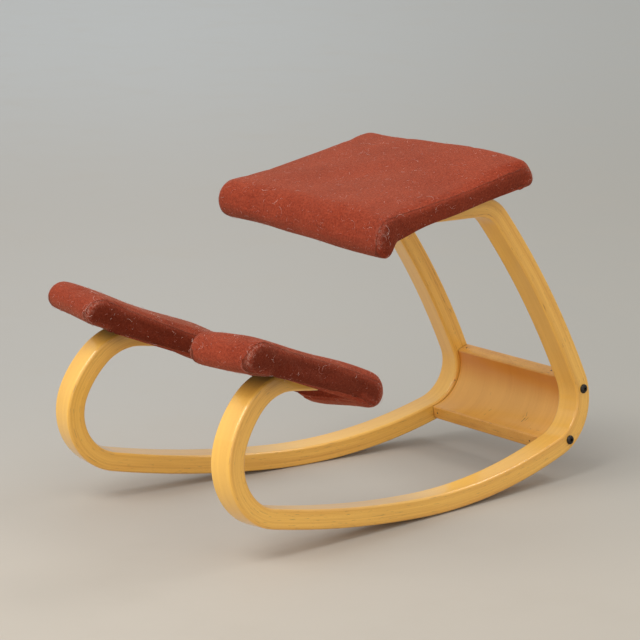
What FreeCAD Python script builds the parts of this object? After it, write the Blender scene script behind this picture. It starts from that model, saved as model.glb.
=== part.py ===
import FreeCAD, Part
import math
import os
import Sketcher

# Rocking kneeling chair: two bent laminated runners, a bent panel between them,
# an upholstered seat on the upper tails and an upholstered pad on each lower tail.
# Frame: +Z up, the chair faces -Y, X = 0 is the plane of symmetry and Z = 0 the floor.

V = FreeCAD.Vector
doc = FreeCAD.newDocument("kneeling_chair")

SIZES = [
    ("runner_width", 40.5, "laminated section, across the chair"),
    ("runner_depth", 29, "laminated section, in the plane of the bend"),
    ("runner_edge_radius", 4, "rounding of the four long edges"),
    ("runner_spacing", 335.6, "between the two floor contacts"),
    ("contact_behind_centre", 53.7, "floor contact behind the middle of the chair"),
    ("runner_splay", 4.76, "each runner turned out towards the front, degrees"),
    ("runner_lean", 2.84, "top of each runner leaned inwards, degrees"),
    ("heel_radius", 834, "centre line, rocker under and behind the contact"),
    ("heel_front_angle", 3.2, "part of the heel arc in front of the contact"),
    ("heel_rear_angle", 17.4, "part of the heel arc behind the contact"),
    ("toe_radius", 1730, "flatter front of the rocker"),
    ("toe_angle", 9.8, ""),
    ("foot_bend_radius", 84.5, "front foot, centre line"),
    ("foot_bend_angle", 100.8, ""),
    ("shin_radius", 149, "slack curve between foot and knee bends"),
    ("shin_angle", 23.1, ""),
    ("knee_bend_radius", 84, "bend under the knee pad"),
    ("knee_bend_angle", 51.4, ""),
    ("knee_tail_length", 45, "straight end under the knee pad"),
    ("rear_bend_radius", 71.3, "bend that holds the crossbar"),
    ("rear_bend_angle", 97.2, ""),
    ("upright_radius", 1263, "slack curve of the upright"),
    ("upright_angle", 14.3, ""),
    ("seat_bend_radius", 57, "bend under the seat"),
    ("seat_bend_angle", 48.9, ""),
    ("seat_tail_length", 126, "straight end under the seat"),
    ("crossbar_thickness", 20, "bent laminated panel"),
    ("crossbar_top_angle", 1.5, "panel past the top end of the rear bend"),
    ("crossbar_foot_angle", 7.5, "panel past the bottom end of the rear bend"),
    ("crossbar_edge_radius", 2.5, "rounding of its long edges"),
    ("crossbar_bolt_angle", 14, "bolt to the end of the rear bend"),
    ("crossbar_bolt_diameter", 8, "connector bolt"),
    ("crossbar_bolt_head", 14, "domed head, diameter"),
    ("crossbar_bolt_head_height", 4, ""),
    ("crossbar_bolt_reach", 34, "bolt inside the panel"),
    ("socket_width", 5, "hexagon socket across flats"),
    ("socket_depth_share", 0.75, "of the height of the head"),
    ("head_top_share", 0.55, "flat top of a domed head, of its diameter"),
    ("head_rim_share", 0.35, "straight rim of a domed head, of its height"),
    ("barrel_nut_diameter", 12, ""),
    ("barrel_nut_length", 11, ""),
    ("barrel_nut_inset", 27, "barrel nut from the end of the panel"),
    ("edge_pin_diameter", 3, ""),
    ("edge_pin_length", 13, ""),
    ("edge_pin_inset", 11, "pin from the end of the panel"),
    ("bolt_diameter", 6, "bolts under seat and pads"),
    ("bolt_head", 12, "their domed heads"),
    ("bolt_head_height", 3.2, ""),
    ("bolt_short_grip", 7, "wood between head and flat, near the tip"),
    ("bolt_long_grip", 16, "wood between head and flat, at the thick end"),
    ("bolt_end_gap", 1, "room past the end of a bolt"),
    ("counterbore_diameter", 15, "recess for the head"),
    ("nut_barrel", 8, "tee nut, barrel outside"),
    ("nut_flange", 17, "tee nut, flange diameter"),
    ("nut_flange_height", 1.4, ""),
    ("nut_length", 8, "tee nut, over all"),
    ("fit_clearance", 0.15, "bolt in its hole, on the radius"),
    ("soft_clearance", 0.3, "foam to board and foam to cover"),
    ("cover_thickness", 1.5, "wool cloth"),
    ("lining_thickness", 1, "cloth under the boards"),
    ("hem_width", 10, "cover turned in under the board"),
    ("roll_lower_share", 0.42, "lower arc of a roll, of its height"),
    ("seat_width", 386, "cover, outside"),
    ("seat_front", 158, "seat origin to the front of the cover"),
    ("seat_rear", 156, "seat origin to the back of the cover"),
    ("seat_slope", 11, "falls to the front, degrees"),
    ("seat_height", 447.4, "underside of the board at the seat origin"),
    ("seat_behind_contact", 18.1, "seat origin behind the floor contact"),
    ("seat_top", 31, "cover above the underside of the board, at its side"),
    ("seat_crown", 4, "more in the middle"),
    ("seat_side_rounding", 13, "radius where top and ends meet the side"),
    ("seat_side_drop", 10, "side of the cover below the board"),
    ("seat_front_drop", 26, "front roll below the board"),
    ("seat_rear_drop", 13, "rear roll below the board"),
    ("seat_side_wall", 12, "rim around the hollow under the seat"),
    ("seat_front_roll", 40, "length of the front roll"),
    ("seat_rear_roll", 36, "length of the rear roll"),
    ("seat_board_thickness", 10, "moulded plywood"),
    ("seat_board_edge", 9, "board edge inside the cover, at the sides"),
    ("seat_board_lip_radius", 22, "bent front and rear of the board, underside"),
    ("seat_board_front_angle", 48, "turn of the front lip"),
    ("seat_board_rear_angle", 20, "turn of the rear lip"),
    ("seat_board_corner", 26, "corner rounding in plan"),
    ("seat_bolt_front", 36, "front bolt ahead of the seat origin"),
    ("seat_bolt_rear", 14, "rear bolt behind the seat origin"),
    ("pad_width", 134, "knee pad cover, outside"),
    ("pad_front", 138, "pad origin to the front of the cover"),
    ("pad_rear", 132, "pad origin to the back of the cover"),
    ("pad_slope", 22, "falls to the rear, degrees"),
    ("pad_ahead_of_contact", 289.8, "pad origin, in the plane of the runner"),
    ("pad_height", 244.6, "underside of the board at the pad origin"),
    ("pad_top", 34, "cover above the underside of the board, at its side"),
    ("pad_crown", 3, "more in the middle"),
    ("pad_side_rounding", 12, "radius where top and ends meet the side"),
    ("pad_side_drop", 9, "side of the cover below the board"),
    ("pad_front_drop", 13, "front roll below the board"),
    ("pad_rear_drop", 15, "rear roll below the board"),
    ("pad_side_wall", 13, "rim around the hollow under the pad"),
    ("pad_front_roll", 56, "length of the front roll"),
    ("pad_rear_roll", 54, "length of the rear roll"),
    ("pad_board_thickness", 9, "moulded plywood"),
    ("pad_board_edge", 9, "board edge inside the cover, at the sides"),
    ("pad_board_lip_radius", 24, "bent front and rear of the board, underside"),
    ("pad_board_front_angle", 34, "turn of the front lip"),
    ("pad_board_rear_angle", 38, "turn of the rear lip"),
    ("pad_board_corner", 16, "corner rounding in plan"),
    ("pad_bolt_front", 14, "front bolt ahead of the pad origin"),
    ("pad_bolt_rear", 26, "rear bolt behind the pad origin"),
]

sheet = doc.addObject("Spreadsheet::Sheet", "Sizes")
for row, (alias, value, note) in enumerate(SIZES, 1):
    sheet.set(f"A{row}", alias)
    sheet.set(f"B{row}", str(value))
    sheet.set(f"C{row}", note)
    sheet.setAlias(f"B{row}", alias)
doc.recompute()


def size(alias):
    return float(getattr(sheet, alias))


def radians(alias):
    return math.radians(size(alias))


def origin_plane(body, role):
    return next(f for f in body.Origin.OriginFeatures if f.Role == role)


def add_body(label):
    body = doc.addObject("PartDesign::Body", label)
    body.Label = label
    return body


def add_sketch(body, name, role):
    sketch = body.newObject("Sketcher::SketchObject", name)
    sketch.AttachmentSupport = [(origin_plane(body, role), "")]
    sketch.MapMode = "FlatFace"
    return sketch


def bind(sketch, constraint, expression):
    index = sketch.addConstraint(constraint)
    sketch.setExpression(f"Constraints[{index}]", expression)
    return index


# Runners

RUNNER_LIFT = ((size("runner_width") / 2 - size("runner_edge_radius")) * math.sin(radians("runner_lean"))
               + size("runner_edge_radius") * (1 - math.cos(radians("runner_lean"))))


def runner_placement(side):
    """Frame of a runner: origin at its floor contact, X outwards, Y to the rear."""
    turn = FreeCAD.Rotation(side * size("runner_splay"), -side * size("runner_lean"), 0)
    at = V(side * size("runner_spacing") / 2, size("contact_behind_centre"), RUNNER_LIFT)
    return FreeCAD.Placement(at, turn)


def trace(start, heading, spans):
    """Tangent arcs and lines from a start point, each as (radius, turn) or (None, length).

    A positive turn is to the left.
    """
    point = V(start[0], start[1], 0)
    shapes = []
    for radius, amount in spans:
        ahead = V(math.cos(heading), math.sin(heading), 0)
        if radius is None:
            end = point + ahead * amount
            shapes.append(Part.LineSegment(point, end))
        else:
            left = 1 if amount > 0 else -1
            centre = point + V(-ahead.y, ahead.x, 0) * radius * left
            first = heading - left * math.pi / 2
            last = first + amount
            low, high = (first, last) if left > 0 else (last, first)
            shapes.append(Part.ArcOfCircle(Part.Circle(centre, V(0, 0, 1), radius), low, high))
            end = centre + V(math.cos(last), math.sin(last), 0) * radius
            heading += amount
        point = end
    return shapes


def half_line(spans, side):
    """Arcs and tail of one half of the runner's centre line, from the floor contact.

    spans holds (radius alias, angle alias) for arcs and (None, length alias) for the tail.
    side is +1 for the half that runs to the rear and -1 for the half that runs forward.
    """
    plain = [(None, size(b)) if a is None else (size(a), side * radians(b)) for a, b in spans]
    return trace((0, size("runner_depth") / 2), 0 if side > 0 else math.pi, plain)


def centre_line(body, name, spans, side):
    """Sketch of one half of the runner's centre line, held by the sizes in the sheet."""
    sketch = add_sketch(body, name, "YZ_Plane")
    for shape in half_line(spans, side):
        sketch.addGeometry(shape, False)
    head, foot = (1, 2) if side > 0 else (2, 1)
    sketch.addConstraint(Sketcher.Constraint("PointOnObject", 0, 3, -2))
    sketch.addConstraint(Sketcher.Constraint("PointOnObject", 0, head, -2))
    bind(sketch, Sketcher.Constraint("DistanceY", -1, 1, 0, head, size("runner_depth") / 2),
         "Sizes.runner_depth / 2")
    for index, (radius, amount) in enumerate(spans):
        if radius is None:
            bind(sketch, Sketcher.Constraint("Distance", index, size(amount)), f"Sizes.{amount}")
        else:
            bind(sketch, Sketcher.Constraint("Radius", index, size(radius)), f"Sizes.{radius}")
            bind(sketch, Sketcher.Constraint("Angle", index, radians(amount)), f"Sizes.{amount} * 1 deg")
        if index:
            near_end = 1 if radius is None else head
            sketch.addConstraint(Sketcher.Constraint("Tangent", index - 1, foot, index, near_end))
    return sketch


def rounded_section(sketch, width, depth, radius, expressions):
    """Rounded rectangle standing on the sketch origin, bound to expressions for its three sizes."""
    half = width / 2
    corners = [(-half, 0), (half, 0), (half, depth), (-half, depth)]
    centres = [(half - radius, radius), (half - radius, depth - radius),
               (radius - half, depth - radius), (radius - half, radius)]
    for index in range(4):
        x, y = centres[index]
        start = -math.pi / 2 + index * math.pi / 2
        circle = Part.Circle(V(x, y, 0), V(0, 0, 1), radius)
        sketch.addGeometry(Part.ArcOfCircle(circle, start, start + math.pi / 2), False)
    for index in range(4):
        first = sketch.getPoint(index, 2)
        second = sketch.getPoint((index + 1) % 4, 1)
        sketch.addGeometry(Part.LineSegment(first, second), False)
    for index in range(4):
        sketch.addConstraint(Sketcher.Constraint("Tangent", index, 2, 4 + index, 1))
        sketch.addConstraint(Sketcher.Constraint("Tangent", 4 + index, 2, (index + 1) % 4, 1))
    for index in (1, 2, 3):
        sketch.addConstraint(Sketcher.Constraint("Equal", 0, index))
    for index in (4, 6):
        sketch.addConstraint(Sketcher.Constraint("Vertical", index))
    sketch.addConstraint(Sketcher.Constraint("Horizontal", 5))
    across, deep, rounding = expressions
    bind(sketch, Sketcher.Constraint("Radius", 0, radius), rounding)
    sketch.addConstraint(Sketcher.Constraint("PointOnObject", 0, 1, -1))
    bind(sketch, Sketcher.Constraint("DistanceX", -1, 1, 4, 1, half), f"({across}) / 2")
    bind(sketch, Sketcher.Constraint("DistanceX", 6, 1, 4, 1, width), across)
    bind(sketch, Sketcher.Constraint("DistanceY", 0, 1, 5, 1, depth), deep)


FRONT_SPANS = [("heel_radius", "heel_front_angle"), ("toe_radius", "toe_angle"),
               ("foot_bend_radius", "foot_bend_angle"), ("shin_radius", "shin_angle"),
               ("knee_bend_radius", "knee_bend_angle"), (None, "knee_tail_length")]
REAR_SPANS = [("heel_radius", "heel_rear_angle"), ("rear_bend_radius", "rear_bend_angle"),
              ("upright_radius", "upright_angle"), ("seat_bend_radius", "seat_bend_angle"),
              (None, "seat_tail_length")]


def bent_runner(label):
    """Laminated band swept both ways from the floor contact along its centre line."""
    body = add_body(label)
    section = add_sketch(body, label + "_section", "XZ_Plane")
    rounded_section(section, size("runner_width"), size("runner_depth"), size("runner_edge_radius"),
                    ("Sizes.runner_width", "Sizes.runner_depth", "Sizes.runner_edge_radius"))
    for name, spans, side in (("front", FRONT_SPANS, -1), ("rear", REAR_SPANS, 1)):
        path = centre_line(body, f"{label}_{name}_line", spans, side)
        pipe = body.newObject("PartDesign::AdditivePipe", f"{label}_{name}_half")
        pipe.Profile = section
        pipe.Spine = (path, [])
        doc.recompute()
    return body


def outward(side, x, y, z):
    """Point of a runner's frame in the chair's frame, x measured outwards."""
    return runner_placement(side).multVec(V(side * x, y, z))


def outward_direction(side, x, y, z):
    return runner_placement(side).Rotation.multVec(V(side * x, y, z))


def along(point, direction):
    """Placement that turns +Z to a direction at a point."""
    return FreeCAD.Placement(point, FreeCAD.Rotation(V(0, 0, 1), direction))


seat_place = FreeCAD.Placement(
    V(0, size("contact_behind_centre") + size("seat_behind_contact"), size("seat_height")),
    FreeCAD.Rotation(V(1, 0, 0), size("seat_slope")))


def pad_place(side):
    on_runner = FreeCAD.Placement(V(0, -size("pad_ahead_of_contact"), size("pad_height")),
                                  FreeCAD.Rotation(V(1, 0, 0), -size("pad_slope")))
    return runner_placement(side).multiply(on_runner)


def seat_bolt_points(side):
    """Front and rear bolt under the seat, on the underside of the board, over the tail."""
    points = []
    for along_seat in (-size("seat_bolt_front"), size("seat_bolt_rear")):
        level = seat_place.multVec(V(0, along_seat, 0))
        rear = level.y - size("contact_behind_centre")
        centre = outward(side, 0, rear, level.z - RUNNER_LIFT)
        points.append(seat_place.multVec(V(centre.x, along_seat, 0)))
    return points


def pad_bolt_points(side):
    return [pad_place(side).multVec(V(0, y, 0)) for y in (-size("pad_bolt_front"), size("pad_bolt_rear"))]


SEAT_UP = seat_place.Rotation.multVec(V(0, 0, 1))
BOLT_GRIPS = {"seat": ("bolt_short_grip", "bolt_long_grip"), "pad": ("bolt_long_grip", "bolt_short_grip")}


def cylinder(label, diameter, length, placement, extra=0):
    """Cylinder along the local Z axis whose sizes come from the sheet."""
    tool = doc.addObject("Part::Cylinder", label)
    tool.setExpression("Radius", f"({diameter}) / 2 + {extra}")
    tool.setExpression("Height", length)
    tool.Placement = placement
    return tool


def fused(label, shapes):
    group = doc.addObject("Part::MultiFuse", label)
    group.Shapes = shapes
    return group


def cut(label, base, tool):
    result = doc.addObject("Part::Cut", label)
    result.Base = base
    result.Tool = tool
    result.Label = label
    return result


def block(label, length, width, height, placement):
    box = doc.addObject("Part::Box", label)
    box.Length, box.Width, box.Height = length, width, height
    box.Placement = placement
    return box


rear_bend = half_line(REAR_SPANS, 1)[1]


def crossbar_bolt_positions():
    """Both bolts on the centre line of the rear bend, as points and angles about its centre."""
    inset = radians("crossbar_bolt_angle")
    angles = (rear_bend.FirstParameter + inset, rear_bend.LastParameter - inset)
    reach = size("rear_bend_radius")
    return [(rear_bend.Center + V(math.cos(a), math.sin(a), 0) * reach, a) for a in angles]


def runner_tools(side, name):
    """Everything cut from the plain bent band: two flats for the boards and all bolt holes."""
    tools = []
    reach = size("seat_width")
    seat_corner = seat_place.multVec(V(-reach, -reach / 2, -size("lining_thickness")))
    tools.append(block(name + "_seat_flat", 2 * reach, reach, size("runner_depth") * 2,
                       FreeCAD.Placement(seat_corner, seat_place.Rotation)))
    pad = pad_place(side)
    wide = size("runner_width") * 2
    pad_corner = pad.multVec(V(-wide / 2, -size("pad_front") / 2, -size("lining_thickness")))
    tools.append(block(name + "_pad_flat", wide, size("pad_front") / 2 + size("pad_rear"),
                       size("runner_depth") * 2, FreeCAD.Placement(pad_corner, pad.Rotation)))
    pad_up = pad.Rotation.multVec(V(0, 0, 1))
    for kind, points, up in (("seat", seat_bolt_points(side), SEAT_UP),
                             ("pad", pad_bolt_points(side), pad_up)):
        for index, (point, grip) in enumerate(zip(points, BOLT_GRIPS[kind])):
            head_seat = point - up * (size("lining_thickness") + size(grip))
            label = f"{name}_{kind}_bolt_{index}"
            tools.append(cylinder(label + "_hole", "Sizes.bolt_diameter", "Sizes.runner_depth",
                                  along(head_seat, up), "Sizes.fit_clearance"))
            tools.append(cylinder(label + "_recess", "Sizes.counterbore_diameter",
                                  "Sizes.runner_depth", along(head_seat, up * -1)))
    for index, (point, angle) in enumerate(crossbar_bolt_positions()):
        start = outward(side, -size("runner_width"), point.x, point.y)
        tools.append(cylinder(f"{name}_crossbar_hole_{index}", "Sizes.crossbar_bolt_diameter",
                              "Sizes.runner_width * 2", along(start, outward_direction(side, 1, 0, 0)),
                              "Sizes.fit_clearance"))
    return tools


SIDES = (("right", 1), ("left", -1))
nodes = []
for name, side in SIDES:
    band = bent_runner(f"bent_band_{name}")
    band.Placement = runner_placement(side)
    tools = fused(f"runner_tools_{name}", runner_tools(side, name))
    nodes.append(cut(f"runner_{name}", band, tools))


# Crossbar: bent laminated panel that fills the rear bends between the two runners

def crossbar_angles():
    """Lower and upper end of the panel about the centre of the rear bend."""
    return (rear_bend.FirstParameter - radians("crossbar_foot_angle"),
            rear_bend.LastParameter + radians("crossbar_top_angle"))


def crossbar_panel():
    body = add_body("crossbar_panel")
    sketch = add_sketch(body, "crossbar_profile", "YZ_Plane")
    first, last = crossbar_angles()
    centre = rear_bend.Center
    half = size("crossbar_thickness") / 2
    for radius in (size("rear_bend_radius") - half, size("rear_bend_radius") + half):
        circle = Part.Circle(centre, V(0, 0, 1), radius)
        sketch.addGeometry(Part.ArcOfCircle(circle, first, last), False)
    for end in (1, 2):
        sketch.addGeometry(Part.LineSegment(sketch.getPoint(0, end), sketch.getPoint(1, end)), False)
    sketch.addConstraint(Sketcher.Constraint("Coincident", 0, 3, 1, 3))
    for line, end in ((2, 1), (3, 2)):
        sketch.addConstraint(Sketcher.Constraint("Coincident", line, 1, 0, end))
        sketch.addConstraint(Sketcher.Constraint("Coincident", line, 2, 1, end))
        sketch.addConstraint(Sketcher.Constraint("PointOnObject", 0, 3, line))
    sketch.addConstraint(Sketcher.Constraint("DistanceX", -1, 1, 0, 3, centre.x))
    sketch.addConstraint(Sketcher.Constraint("DistanceY", -1, 1, 0, 3, centre.y))
    for arc, sign in ((0, "-"), (1, "+")):
        radius = sketch.Geometry[arc].Radius
        bind(sketch, Sketcher.Constraint("Radius", arc, radius),
             f"Sizes.rear_bend_radius {sign} Sizes.crossbar_thickness / 2")
    bind(sketch, Sketcher.Constraint("Angle", 0, last - first),
         "(Sizes.rear_bend_angle + Sizes.crossbar_top_angle + Sizes.crossbar_foot_angle) * 1 deg")
    pad = body.newObject("PartDesign::Pad", "crossbar_width")
    pad.Profile = sketch
    pad.setExpression("Length", "Sizes.runner_spacing + Sizes.runner_width")
    pad.Midplane = True
    doc.recompute()
    long_edges = [f"Edge{i}" for i, edge in enumerate(pad.Shape.Edges, 1)
                  if edge.Curve.TypeId == "Part::GeomLine" and abs(edge.Curve.Direction.x) > 0.99]
    rounding = body.newObject("PartDesign::Fillet", "crossbar_edges")
    rounding.Base = (pad, long_edges)
    rounding.setExpression("Radius", "Sizes.crossbar_edge_radius")
    body.Placement = FreeCAD.Placement(V(0, size("contact_behind_centre"), RUNNER_LIFT), FreeCAD.Rotation())
    return body


def radial(angle):
    return V(0, math.cos(angle), math.sin(angle))


def barrel_nut_frame(side, point, angle):
    """Middle of a barrel nut on the axis of its bolt, and the way out through the convex face."""
    middle = outward(side, -size("runner_width") / 2 - size("barrel_nut_inset"), point.x, point.y)
    return middle, outward_direction(side, *radial(angle))


def edge_pin_frame(side, low_end):
    """Outer end of a pin at the end face of the panel, and the way in along the bend."""
    angle = crossbar_angles()[0 if low_end else 1]
    face = rear_bend.Center + V(math.cos(angle), math.sin(angle), 0) * size("rear_bend_radius")
    inward = V(0, -math.sin(angle), math.cos(angle)) * (1 if low_end else -1)
    point = outward(side, -size("runner_width") / 2 - size("edge_pin_inset"), face.x, face.y)
    return point, outward_direction(side, *inward)


def crossbar_tools():
    tools = []
    wide = size("runner_spacing")
    half = size("runner_width") / 2
    for name, side in SIDES:
        place = runner_placement(side)
        corner = V(-half, 0, 0) if side > 0 else V(half - wide, 0, 0)
        tools.append(block(f"crossbar_end_{name}", wide, 2 * wide, 2 * wide,
                           FreeCAD.Placement(place.multVec(corner), place.Rotation)))
        for index, (point, angle) in enumerate(crossbar_bolt_positions()):
            start = outward(side, 0, point.x, point.y)
            depth = "Sizes.runner_width / 2 + Sizes.crossbar_bolt_reach + Sizes.bolt_end_gap"
            tools.append(cylinder(f"crossbar_bore_{name}_{index}", "Sizes.crossbar_bolt_diameter",
                                  depth, along(start, outward_direction(side, -1, 0, 0)),
                                  "Sizes.fit_clearance"))
            middle, out = barrel_nut_frame(side, point, angle)
            low = middle - out * (size("barrel_nut_length") / 2 + size("fit_clearance"))
            tools.append(cylinder(f"barrel_bore_{name}_{index}", "Sizes.barrel_nut_diameter",
                                  "Sizes.barrel_nut_length / 2 + Sizes.crossbar_thickness",
                                  along(low, out), "Sizes.fit_clearance"))
            pin, way = edge_pin_frame(side, index == 0)
            tools.append(cylinder(f"pin_bore_{name}_{index}", "Sizes.edge_pin_diameter",
                                  "Sizes.edge_pin_length + Sizes.fit_clearance",
                                  along(pin, way), "Sizes.fit_clearance"))
    return tools


nodes.append(cut("crossbar", crossbar_panel(), fused("crossbar_tools", crossbar_tools())))


# Fasteners: one model of each, copied to every place where it sits

def closed_outline(sketch, points, crests):
    """Closed chain through the points, each held in place; crests turn a side into an arc."""
    count = len(points)
    for index in range(count):
        first, second = points[index], points[(index + 1) % count]
        if index in crests:
            sketch.addGeometry(Part.Arc(first, crests[index], second), False)
        else:
            sketch.addGeometry(Part.LineSegment(first, second), False)
    for index in range(count):
        sketch.addConstraint(Sketcher.Constraint("Coincident", index, 2, (index + 1) % count, 1))
        sketch.addConstraint(Sketcher.Constraint("DistanceX", -1, 1, index, 1, points[index].x))
        sketch.addConstraint(Sketcher.Constraint("DistanceY", -1, 1, index, 1, points[index].y))
    for index in crests:
        sketch.addConstraint(Sketcher.Constraint("Radius", index, sketch.Geometry[index].Radius))


HEAD_BULGE = 0.15


def domed_bolt(label, head, head_height, shank, length):
    """Bolt along +Z with its domed head below Z = 0 and a hexagon socket in the head."""
    body = add_body(label)
    sketch = add_sketch(body, label + "_profile", "XZ_Plane")
    head_radius, rim = head / 2, head_height * size("head_rim_share")
    flat = head_radius * size("head_top_share")
    points = [V(0, -head_height, 0), V(flat, -head_height, 0), V(head_radius, -rim, 0),
              V(head_radius, 0, 0), V(shank / 2, 0, 0), V(shank / 2, length, 0), V(0, length, 0)]
    lean = V(flat - head_radius, rim - head_height, 0)
    crest = (points[1] + points[2]) * 0.5 + V(-lean.y, lean.x, 0) * HEAD_BULGE
    closed_outline(sketch, points, {1: crest})
    turned = body.newObject("PartDesign::Revolution", label + "_turned")
    turned.Profile = sketch
    turned.ReferenceAxis = (sketch, ["V_Axis"])
    turned.Angle = 360
    doc.recompute()
    socket_sketch = add_sketch(body, label + "_socket_outline", "XY_Plane")
    socket_sketch.AttachmentOffset = FreeCAD.Placement(V(0, 0, -head_height), FreeCAD.Rotation())
    across = size("socket_width") / math.sqrt(3)
    turns = [k * math.pi / 3 for k in range(6)]
    corners = [V(across * math.cos(turn), across * math.sin(turn), 0) for turn in turns]
    closed_outline(socket_sketch, corners, {})
    socket = body.newObject("PartDesign::Pocket", label + "_socket")
    socket.Profile = socket_sketch
    socket.Length = head_height * size("socket_depth_share")
    socket.Reversed = True
    doc.recompute()
    return body


def copies(label, model, placements):
    """Group of separate equal solids, one at each placement."""
    group = doc.addObject("Part::Feature", label)
    placed = []
    for placement in placements:
        solid = model.Shape.copy()
        solid.Placement = placement.multiply(model.Shape.Placement)
        placed.append(solid)
    group.Shape = Part.makeCompound(placed)
    group.Label = label
    return group


connector = domed_bolt("connector_bolt", size("crossbar_bolt_head"), size("crossbar_bolt_head_height"),
                       size("crossbar_bolt_diameter"), size("runner_width") + size("crossbar_bolt_reach"))
places = [along(outward(side, size("runner_width") / 2, point.x, point.y), outward_direction(side, -1, 0, 0))
          for _, side in SIDES for point, _ in crossbar_bolt_positions()]
nodes.append(copies("crossbar_bolts", connector, places))

barrel = cylinder("barrel_body", "Sizes.barrel_nut_diameter", "Sizes.barrel_nut_length",
                  FreeCAD.Placement(V(0, 0, -size("barrel_nut_length") / 2), FreeCAD.Rotation()))
thread = cylinder("barrel_thread", "Sizes.crossbar_bolt_diameter", "Sizes.barrel_nut_diameter * 2",
                  along(V(-size("barrel_nut_diameter"), 0, 0), V(1, 0, 0)), "Sizes.fit_clearance")
barrel_nut = cut("barrel_nut_model", barrel, thread)
doc.recompute()


def barrel_nut_places():
    placements = []
    for _, side in SIDES:
        for point, angle in crossbar_bolt_positions():
            middle, out = barrel_nut_frame(side, point, angle)
            bolt_way = outward_direction(side, 1, 0, 0)
            turn = FreeCAD.Rotation(bolt_way, V(0, 0, 0), out, "ZXY")
            placements.append(FreeCAD.Placement(middle, turn))
    return placements


nodes.append(copies("crossbar_barrel_nuts", barrel_nut, barrel_nut_places()))

pin = cylinder("edge_pin_model", "Sizes.edge_pin_diameter", "Sizes.edge_pin_length", FreeCAD.Placement())
doc.recompute()
places = [along(*edge_pin_frame(side, low_end)) for _, side in SIDES for low_end in (True, False)]
nodes.append(copies("crossbar_edge_pins", pin, places))


# Boards: moulded plywood with a turned down lip at the front and at the rear

def board_profile(kind):
    """Flat ahead of and behind the origin, lip radius, thickness and turn of both lips."""
    wall = size("cover_thickness") + size("soft_clearance")
    flats = [size(f"{kind}_{end}") - size(f"{kind}_{end}_roll") + wall for end in ("front", "rear")]
    turns = [radians(f"{kind}_board_{end}_angle") for end in ("front", "rear")]
    return (*flats, size(f"{kind}_board_lip_radius"), size(f"{kind}_board_thickness"), *turns)


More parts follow.
